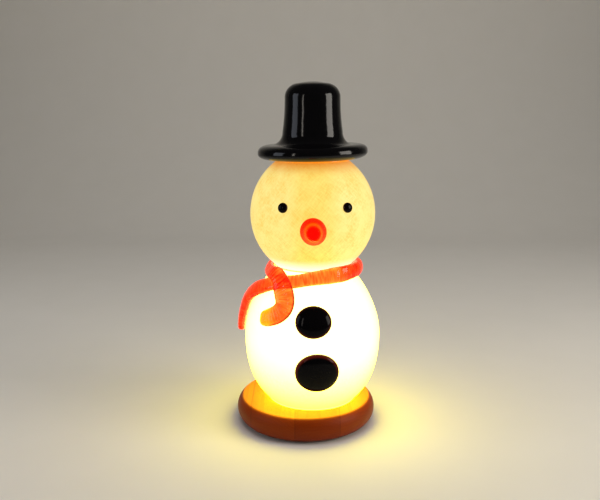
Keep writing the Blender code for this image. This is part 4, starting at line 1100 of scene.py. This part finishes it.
class SNOWMAN_OT_globes(Operator):
    """Blow the two opal globes, body and head, and bond them at the neck."""

    bl_idname = "snowman_lamp.globes"
    bl_label = "Glass Globes"

    def execute(self, context):
        """Outer and inner superellipse outlines turned round the figure's axis, one wall apart.

        Near the waist the outline is a mean of itself over the heights around, weighted by (1 - t squared)
        squared, and eased back into itself by the exponential of minus the square of the distance.
        """
        glass = context.scene.snowman_lamp.glass
        heights = np.linspace(BASE_HIGH.z + CLEARANCE, BODY_HIGH.z, 150)
        window = np.linspace(-1.0, 1.0, 21)
        weights = (1.0 - window**2) ** 2
        around = figure_outline(glass, heights[:, None] + window * glass.waist_ease)
        mean = (around * weights).sum(axis=1) / weights.sum()
        ease = np.exp(-(((heights - glass.waist) / (2.0 * glass.waist_ease)) ** 2))
        radii = figure_outline(glass, heights) * (1.0 - ease) + mean * ease
        outside = np.stack((radii, heights), axis=-1)
        half = glass.wall / 2.0
        lip_angles = np.linspace(0.0, -math.pi, 17)
        lip = np.stack((np.cos(lip_angles) * half, np.sin(lip_angles) * half), axis=-1)
        lip = lip + (glass.mouth_radius - half, BODY_LOW.z + half)
        inner_radii = np.maximum(radii, np.where(heights > glass.waist, 0.0, glass.mouth_radius)) - glass.wall
        inside = np.stack((inner_radii, heights), axis=-1)
        section = np.vstack((outside, inside[::-1], lip[::-1]))
        spun("body_of_glass", section, body_opal(glass), "figure", "body_glass", "body_globe", GLASS_SEGMENTS)

        sizes = (glass.head_radius, glass.head_rise, glass.neck_radius)
        skins = []
        for inset, crown_points, chin_points in ((0.0, 90, 60), (glass.wall, 50, 40)):
            radius, rise, ring = (size - inset for size in sizes)
            crown = quarter(radius, rise, 2.0, 0.0, crown_points)[::-1]
            chin = quarter(radius, rise, 2.0, ring, chin_points)[1:] * (1.0, -1.0)
            skins.append(np.vstack((crown, chin)))
        neck = [(glass.neck_radius - glass.wall, HEAD_LOW.z - glass.head_height)]
        section = np.vstack((skins[0], neck, skins[1][::-1])) + (0.0, glass.head_height)
        spun("head_of_glass", section, head_opal(glass), "figure", "head_glass", "head_globe", GLASS_SEGMENTS)

        bond = rectangle(glass.neck_radius - glass.wall, glass.neck_radius, NECK_LOW.z, NECK_HIGH.z)
        bond = softened(bond, radius=0.0003)
        spun("bond_of_neck", bond, soft_silicone(), "figure", "silicone", "neck_bond", GLASS_SEGMENTS)
        return {"FINISHED"}


class SNOWMAN_OT_hat(Operator):
    """Blow the black hat with its rolled brim and bond it to the head."""

    bl_idname = "snowman_lamp.hat"
    bl_label = "Glass Hat"

    def execute(self, context):
        """Section from the crown over the brim to the opening and up inside, turned, then tilted.

        Beyond the opening a point also rises by its own x, times the brim tilt's tangent, times the share
        of its radius that lies outside the opening.
        """
        settings = context.scene.snowman_lamp
        hat, glass = settings.hat, settings.glass
        top_edge = (hat.crown_radius - hat.crown_corner, hat.height - hat.crown_dome)
        shoulder = (hat.crown_radius, top_edge[1] - hat.crown_corner)
        foot = (hat.foot_radius, hat.foot_height)
        flat = (hat.flat_radius, hat.flat_height)
        rim = (hat.brim_radius, hat.rim_height)
        lip = (hat.lip_radius, hat.lip_rise)
        reach = np.linspace(0.0, 1.0, 16)
        top = np.stack((top_edge[0] * reach, hat.height - hat.crown_dome * reach**2), axis=-1)
        down = np.linspace(0.0, 1.0, 30)[1:, None]
        side = np.array(shoulder) + (np.array(foot) - shoulder) * np.hstack((down**2, down))
        inner_top = top_edge[1] - hat.wall
        inner_crown = hat.crown_radius - hat.wall
        inner_side = (inner_crown, inner_top - hat.crown_corner)
        bevel = 0.0005  # of the opening's edge
        opening = [
            (hat.opening_radius + bevel, 0.2 * bevel),
            (hat.opening_radius, bevel),
            (hat.opening_radius, hat.rim_height),
            (hat.foot_radius - hat.wall, hat.foot_height),
            inner_side,
        ]
        section = (
            top,
            quarter_turn(top_edge, shoulder, True, 24),
            side,
            quarter_turn(foot, flat, False, 20),
            quarter_turn(flat, rim, True, 28, hat.brim_power),
            quarter_turn(rim, lip, False, 24),
            opening,
            quarter_turn(inner_side, (inner_crown - hat.crown_corner, inner_top), False, 12),
            [(0.0, inner_top)],
        )
        middle = FIGURE_AXIS + UP * glass.head_height
        lean = np.array((-math.sin(hat.tilt), 0.0, math.cos(hat.tilt)))
        points = turned(np.vstack(section) + (0.0, hat.seat), HAT_SEGMENTS)
        outward = np.maximum(np.hypot(points[..., 0], points[..., 1]), hat.opening_radius)
        points[..., 2] += (1.0 - hat.opening_radius / outward) * points[..., 0] * math.tan(hat.brim_tilt)
        black = black_glass(hat, "black glass, blown and fire polished", 0.25)
        place(weave("hat_of_glass", tilted(points, middle, lean), black), "figure", "black_glass", "hat")

        radii = np.array((hat.opening_radius, hat.opening_radius + hat.bond_width))
        seat = glass.head_rise * np.sqrt(1.0 - (radii / glass.head_radius) ** 2) + CLEARANCE
        slope = hat.lip_rise / (hat.lip_radius - hat.opening_radius)
        under = hat.seat - CLEARANCE
        bond = [*zip(radii, seat), (radii[1], under + slope * hat.bond_width), (radii[0], under)]
        ring = tilted(turned(softened(bond, radius=0.0001), HAT_SEGMENTS), middle, lean)
        place(weave("bond_of_hat", ring, clear_adhesive(), ring=True), "figure", "silicone", "hat_bond")
        return {"FINISHED"}


class SNOWMAN_OT_domes(Operator):
    """Lay the black glass domes on the globes: two eyes and two buttons."""

    bl_idname = "snowman_lamp.domes"
    bl_label = "Eyes and Buttons"

    def execute(self, context):
        """Quarter ellipse from the top to the rim, an upright edge and a back that follows the glass."""
        settings = context.scene.snowman_lamp
        face, glass = settings.face, settings.glass
        drop = black_glass(settings.hat, "black glass, dropped hot and fire polished", 0.07)
        eye_height = glass.head_height + face.eye_height
        eye_size = (face.eye_radius, face.eye_bulge, face.eye_edge, 1.0)
        upper_size = (face.upper_radius, face.button_bulge, face.button_edge, face.upper_oval)
        lower_size = (face.lower_radius, face.button_bulge, face.button_edge, face.lower_oval)
        domes = (
            ("eye_left", face.turn - face.eye_spread, eye_height, eye_size),
            ("eye_right", face.turn + face.eye_spread, eye_height, eye_size),
            ("button_upper", face.upper_azimuth, glass.waist + face.upper_height, upper_size),
            ("button_lower", face.lower_azimuth, glass.waist + face.lower_height, lower_size),
        )
        for node, azimuth, height, (radius, bulge, edge, oval) in domes:
            point, outward = on_glass(glass, azimuth, height)
            cap = quarter(radius, bulge, 2.2, 0.0, 40)[::-1] + (0.0, edge)
            back = np.stack((np.linspace(radius, 0.0, 20), np.zeros(20)), axis=-1)
            section = np.vstack((cap, back))
            points = laid_on(glass, section, np.ones(len(section)), point, outward, np.diag((oval, 1.0)))
            # painted glow: a deep red rim for the globe's light through each dome's thin edge, fainter on the
            # smaller domes
            rim = eased(section[:, 0], 0.86 * radius, radius) * radius / face.lower_radius
            fields = {"thin": np.repeat(rim[:, None], SMALL_SEGMENTS, axis=1)}
            place(weave(f"{node}_dome", points, drop, fields=fields), "figure", "black_glass", node)
        return {"FINISHED"}


class SNOWMAN_OT_nose(Operator):
    """Set the blunt red cone of the nose on the head."""

    bl_idname = "snowman_lamp.nose"
    bl_label = "Nose"

    def execute(self, context):
        """Flat tip, rounded edge, straight flank and short upright rim; the foot follows the glass."""
        settings = context.scene.snowman_lamp
        face, glass = settings.face, settings.glass
        point, _ = on_glass(glass, face.nose_azimuth, glass.head_height + face.nose_height)
        forward = (math.sin(face.nose_azimuth), -math.cos(face.nose_azimuth), math.tan(face.nose_lift))
        tip, foot = face.nose_tip, face.nose_foot
        front = [(0.0, face.nose_length), (tip, face.nose_length), (foot, face.nose_rim), (foot, 0.0)]
        front = evenly(softened(front, radius=0.0018, closed=False), 72)
        back = np.stack((np.linspace(foot, 0.0, 24)[1:], np.zeros(23)), axis=-1)
        section = np.vstack((front, back))
        radius, height = section.T
        follow = np.where(np.arange(len(section)) < len(front), eased(radius, tip, foot), 1.0)
        cosine, sine = math.cos(face.nose_oval_turn), math.sin(face.nose_oval_turn)
        oval = np.array(((cosine, -sine * face.nose_oval), (sine, cosine * face.nose_oval)))
        points = laid_on(glass, section, follow, point, unit(np.array(forward)), oval)
        turn = np.linspace(0.0, math.tau, SMALL_SEGMENTS, endpoint=False)
        # painted highlight: a paler ring round the tip, for light that the rounded edge bends in from the
        # sides
        highlight_radius, highlight_width = tip + 0.0016, 0.0011
        ring = np.exp(-(((radius - highlight_radius) / highlight_width) ** 2)) * (height > 0.3 * face.nose_length)
        fields = {
            "along": np.repeat(height[:, None], SMALL_SEGMENTS, axis=1),
            "across": radius[:, None] * np.abs(turn - math.pi),
            "thin": np.repeat(ring[:, None], SMALL_SEGMENTS, axis=1),
        }
        red = clear_glass(
            "red glass, shaped hot and fire polished",
            tint=face.nose_red,
            density=face.nose_density,
            ripple=4.0,
            streaks=("#FF5C2A", "#FF3C14"),
            glows=("#F01A08", "#D80A06"),
            glow_strength=0.35,
            index=1.12,
        )
        place(weave("nose_of_glass", points, red, fields=fields), "figure", "red_glass", "nose")
        return {"FINISHED"}


def smooth_route(scarf):
    """The scarf's route as a Catmull-Rom curve: a cubic between each two points, through both of them.

    At a point the curve runs along the line between its two neighbours. The columns are azimuth in
    radians, height, lift, width and share of the thickness.
    """
    route = np.array(SCARF_ROUTE, dtype=float)
    route[:, 0] = np.radians(np.unwrap(route[:, 0], period=360.0))
    route[:, 1] = (NECK_LOW.z + NECK_HIGH.z) / 2.0 - route[:, 1]
    route[:, 2] *= scarf.thickness
    padded = np.vstack((2.0 * route[0] - route[1], route, 2.0 * route[-1] - route[-2]))
    before, start, end, after = (padded[shift : len(padded) - 3 + shift, None] for shift in range(4))
    t = np.linspace(0.0, 1.0, SCARF_STEPS, endpoint=False)[:, None]
    bend = 2.0 * before - 5.0 * start + 4.0 * end - after
    twist = -before + 3.0 * start - 3.0 * end + after
    curve = 0.5 * (2.0 * start + (end - before) * t + bend * t**2 + twist * t**3)
    return np.vstack((curve.reshape(-1, 5), route[-1:]))


class SNOWMAN_OT_scarf(Operator):
    """Lay the orange glass ribbon round the neck, one tail at the side and one in front."""

    bl_idname = "snowman_lamp.scarf"
    bl_label = "Glass Scarf"

    def execute(self, context):
        """Superellipse section carried along the route, each station pushed out until it clears the glass."""
        settings = context.scene.snowman_lamp
        scarf, glass = settings.scarf, settings.glass
        azimuth, height, lift, width, full = smooth_route(scarf).T
        around = np.stack((np.sin(azimuth), -np.cos(azimuth), np.zeros_like(azimuth)), axis=-1)
        levels = height[:, None] + np.linspace(-0.5, 0.5, 11) * width[:, None]
        rise = figure_outline(glass, levels + scarf.gap) - figure_outline(glass, levels - scarf.gap)
        normal = unit(around - (rise.mean(axis=1) / (2.0 * scarf.gap))[:, None] * UP)
        middle = around * figure_outline(glass, levels).mean(axis=1)[:, None] + height[:, None] * UP
        run = np.concatenate(([0.0], np.cumsum(np.linalg.norm(np.diff(middle, axis=0), axis=1))))
        end = run[-1]
        to_end = np.clip(np.minimum(run, end - run) / scarf.end_round, 0.0, 1.0)
        taper = (1.0 - (1.0 - to_end) ** scarf.end_power) ** (1.0 / scarf.end_power)

        angles = np.linspace(0.0, math.tau, SCARF_SIDES, endpoint=False)
        edge, face = np.cos(angles), np.sin(angles)
        bow = 2.0 / scarf.edge_power
        across = 0.5 * np.sign(edge) * np.abs(edge) ** bow * (width * taper)[:, None]
        wander = 1.7 * np.sin(run / 0.011)  # of the hand, so that the ripples are never quite even
        ripple = np.sin(math.tau * run / scarf.ripple_spacing + wander)
        thick = scarf.thickness * full * np.sqrt(taper) + scarf.ripple_depth * ripple * taper
        through = 0.5 * np.sign(face) * np.abs(face) ** bow * thick[:, None]
        pushed = np.full_like(height, 0.5 * scarf.thickness)
        for _ in range(SCARF_SETTLING):
            centre = middle + normal * pushed[:, None]
            sideways = unit(np.cross(unit(np.gradient(centre, axis=0)), normal))
            section = across[..., None] * sideways[:, None] + through[..., None] * normal[:, None]
            points = centre[:, None] + section
            room = np.hypot(points[..., 0], points[..., 1]) - figure_outline(glass, points[..., 2])
            pushed = pushed + (scarf.gap - room.min(axis=1))
        points = FIGURE_AXIS + (middle + normal * (pushed + lift)[:, None])[:, None] + section

        # drawn thin towards the front tail's tip; along the band's lower edge past the side tail, a painted
        # glow where the ribbon lies on the lit body
        tip = end - 0.006
        drawn_out = 0.9 * eased(run, tip - 0.011, tip)
        lower_edge_glow = 0.5 * eased(edge, 0.75, 1.0) * eased(run, 0.05, 0.07)[:, None]
        # the front tail is folded over once where it leaves the neck, and its edges stand free below that;
        # painted shade darkens a line along the fold and along the free edges
        creased = end - scarf.fold
        front = eased(run, creased - 0.004, creased) * (1.0 - eased(run, tip - 0.008, tip))
        free_edge_shade = eased(np.abs(edge), 0.78, 0.92) * front[:, None]
        crease_shade = 1.0 - eased(np.abs(run[:, None] - creased - 0.25 * across), 0.0003, 0.0012)
        fields = {
            "along": np.repeat(run[:, None], SCARF_SIDES, axis=1),
            "across": across,
            "thin": np.maximum(drawn_out[:, None], lower_edge_glow),
            "fold": np.maximum(free_edge_shade, crease_shade),
        }
        orange = clear_glass(
            "orange glass, drawn flat and rippled by hand",
            tint=scarf.orange,
            density=scarf.density,
            ripple=1.6,
            streaks=("#FFBE82", "#FF8444"),
            glows=("#FF5A1C", "#F52A0C"),
            glow_strength=scarf.glow,
            index=1.3,
        )
        place(weave("scarf_of_glass", points, orange, fields=fields), "figure", "scarf_glass", "scarf")
        return {"FINISHED"}


class SNOWMAN_OT_stage(Operator):
    """Set up the pale floor, the soft lights and the camera."""

    bl_idname = "snowman_lamp.stage"
    bl_label = "Stage"

    def execute(self, context):
        """Floor that sweeps up to a backdrop: flat, then a quarter circle, then upright."""
        stage = context.scene.snowman_lamp.stage
        link = context.scene.collection.objects.link
        front, flat_end, bend, top, side = -2.5, 0.9, 0.6, 3.0, 3.0
        turn = np.linspace(0.0, math.pi / 2.0, 40)
        sweep = np.stack((flat_end + bend * np.sin(turn), bend - bend * np.cos(turn)), axis=-1)
        path = np.vstack(([(front, 0.0), (0.0, 0.0)], sweep, [(flat_end + bend, top)]))
        across = np.linspace(-side, side, 9)
        points = np.zeros((len(path), len(across), 3))
        points[..., 0] = across
        points[..., 1:] = path[:, None]
        ids = np.arange(points[..., 0].size).reshape(points.shape[:2])
        quads = np.stack((ids[:-1, :-1], ids[:-1, 1:], ids[1:, 1:], ids[1:, :-1]), axis=-1).reshape(-1, 4)
        mesh = bpy.data.meshes.new("sweep")
        mesh.from_pydata(points.reshape(-1, 3).tolist(), [], quads.tolist())
        mesh.shade_smooth()
        finish, shader, node, coordinates = new_finish("pale paper, rolled matt")
        fibre = node("TexNoise", coordinates, per_mm(60.0), 2.0)
        fill(shader, {"Base Color": node("Mix", fibre, stage.floor, "#E0DCD5"), "Roughness": 0.9})
        mesh.materials.append(finish)
        floor = bpy.data.objects.new("sweep", mesh)
        link(floor)

        # azimuth, elevation, distance, width and height, power, colour
        lights = (
            ("key_light", 70.0, 11.0, 0.95, (0.44, 0.50), stage.key_power, "#FFF8EE"),
            ("fill_light", -75.0, 11.0, 0.95, (0.40, 0.50), stage.fill_power, "#EAF1FF"),
            ("strip_light", -40.0, 10.0, 0.95, (0.07, 0.42), stage.strip_power, "#FFF6EA"),
            ("top_light", 20.0, 80.0, 1.5, (1.4, 1.4), stage.top_power, "#FFFDF8"),
        )
        aim = np.array((FIGURE_X, 0.0, 0.26))  # the hat's brim
        for name, azimuth, elevation, distance, size, watts, code in lights:
            lamp = bpy.data.lights.new(name, "AREA")
            lamp.shape = "RECTANGLE"
            lamp.size, lamp.size_y = size
            lamp.energy = watts
            lamp.color = linear(code)
            light = bpy.data.objects.new(name, lamp)
            link(light)
            flat, steep = math.radians(azimuth), math.radians(elevation)
            level = math.cos(steep)
            away = np.array((math.sin(flat) * level, -math.cos(flat) * level, math.sin(steep)))
            light.location = aim + distance * away
            light.rotation_euler = (math.pi / 2.0 - steep, 0.0, flat)
            # the black glass mirrors the upright lights and not the broad one overhead
            light.visible_glossy = name != "top_light"

        world = bpy.data.worlds.new("even surround")
        world.use_nodes = True
        fill(world.node_tree.nodes["Background"], {"Color": "#F2F0EC", "Strength": stage.world_strength})
        context.scene.world = world

        view = bpy.data.cameras.new("photo_camera")
        view.sensor_width = 36.0
        view.lens = stage.camera_lens
        camera = bpy.data.objects.new("photo_camera", view)
        link(camera)
        camera.location = stage.camera_place
        camera.rotation_euler = (stage.camera_pitch, 0.0, 0.0)
        context.scene.camera = camera
        context.scene.view_settings.view_transform = "Standard"
        return {"FINISHED"}


BUILD_ORDER = (
    SNOWMAN_OT_stage,
    SNOWMAN_OT_base,
    SNOWMAN_OT_underside,
    SNOWMAN_OT_lampholder,
    SNOWMAN_OT_bulb,
    SNOWMAN_OT_globes,
    SNOWMAN_OT_hat,
    SNOWMAN_OT_domes,
    SNOWMAN_OT_nose,
    SNOWMAN_OT_scarf,
)


class SNOWMAN_PT_lamp(Panel):
    """The lamp's pieces and settings in the sidebar."""

    bl_idname = "SNOWMAN_PT_lamp"
    bl_label = "Snowman Lamp"
    bl_space_type = "VIEW_3D"
    bl_region_type = "UI"
    bl_category = "Snowman Lamp"

    def draw(self, context):
        """List the operators, then every setting."""
        for operator in BUILD_ORDER:
            self.layout.operator(operator.bl_idname)
        settings = context.scene.snowman_lamp
        for group in SnowmanLampSettings.__annotations__:
            box = self.layout.box()
            box.label(text=group.capitalize())
            part = getattr(settings, group)
            for name in part.__annotations__:
                box.prop(part, name)


CLASSES = (
    SnowmanBaseSettings,
    SnowmanBulbSettings,
    SnowmanGlassSettings,
    SnowmanHatSettings,
    SnowmanFaceSettings,
    SnowmanScarfSettings,
    SnowmanStageSettings,
    SnowmanLampSettings,
    *BUILD_ORDER,
    SNOWMAN_PT_lamp,
)


def register():
    """Add the classes, and the settings to the scene."""
    for item in CLASSES:
        bpy.utils.register_class(item)
    bpy.types.Scene.snowman_lamp = PointerProperty(type=SnowmanLampSettings)


def unregister():
    """Take the settings and the classes away again."""
    del bpy.types.Scene.snowman_lamp
    for item in reversed(CLASSES):
        bpy.utils.unregister_class(item)


def main():
    """Build the lamp from the stage up."""
    register()
    bpy.ops.snowman_lamp.stage()
    bpy.ops.snowman_lamp.base()
    bpy.ops.snowman_lamp.underside()
    bpy.ops.snowman_lamp.lampholder()
    bpy.ops.snowman_lamp.bulb()
    bpy.ops.snowman_lamp.globes()
    bpy.ops.snowman_lamp.hat()
    bpy.ops.snowman_lamp.domes()
    bpy.ops.snowman_lamp.nose()
    bpy.ops.snowman_lamp.scarf()


if __name__ == "__main__":
    main()
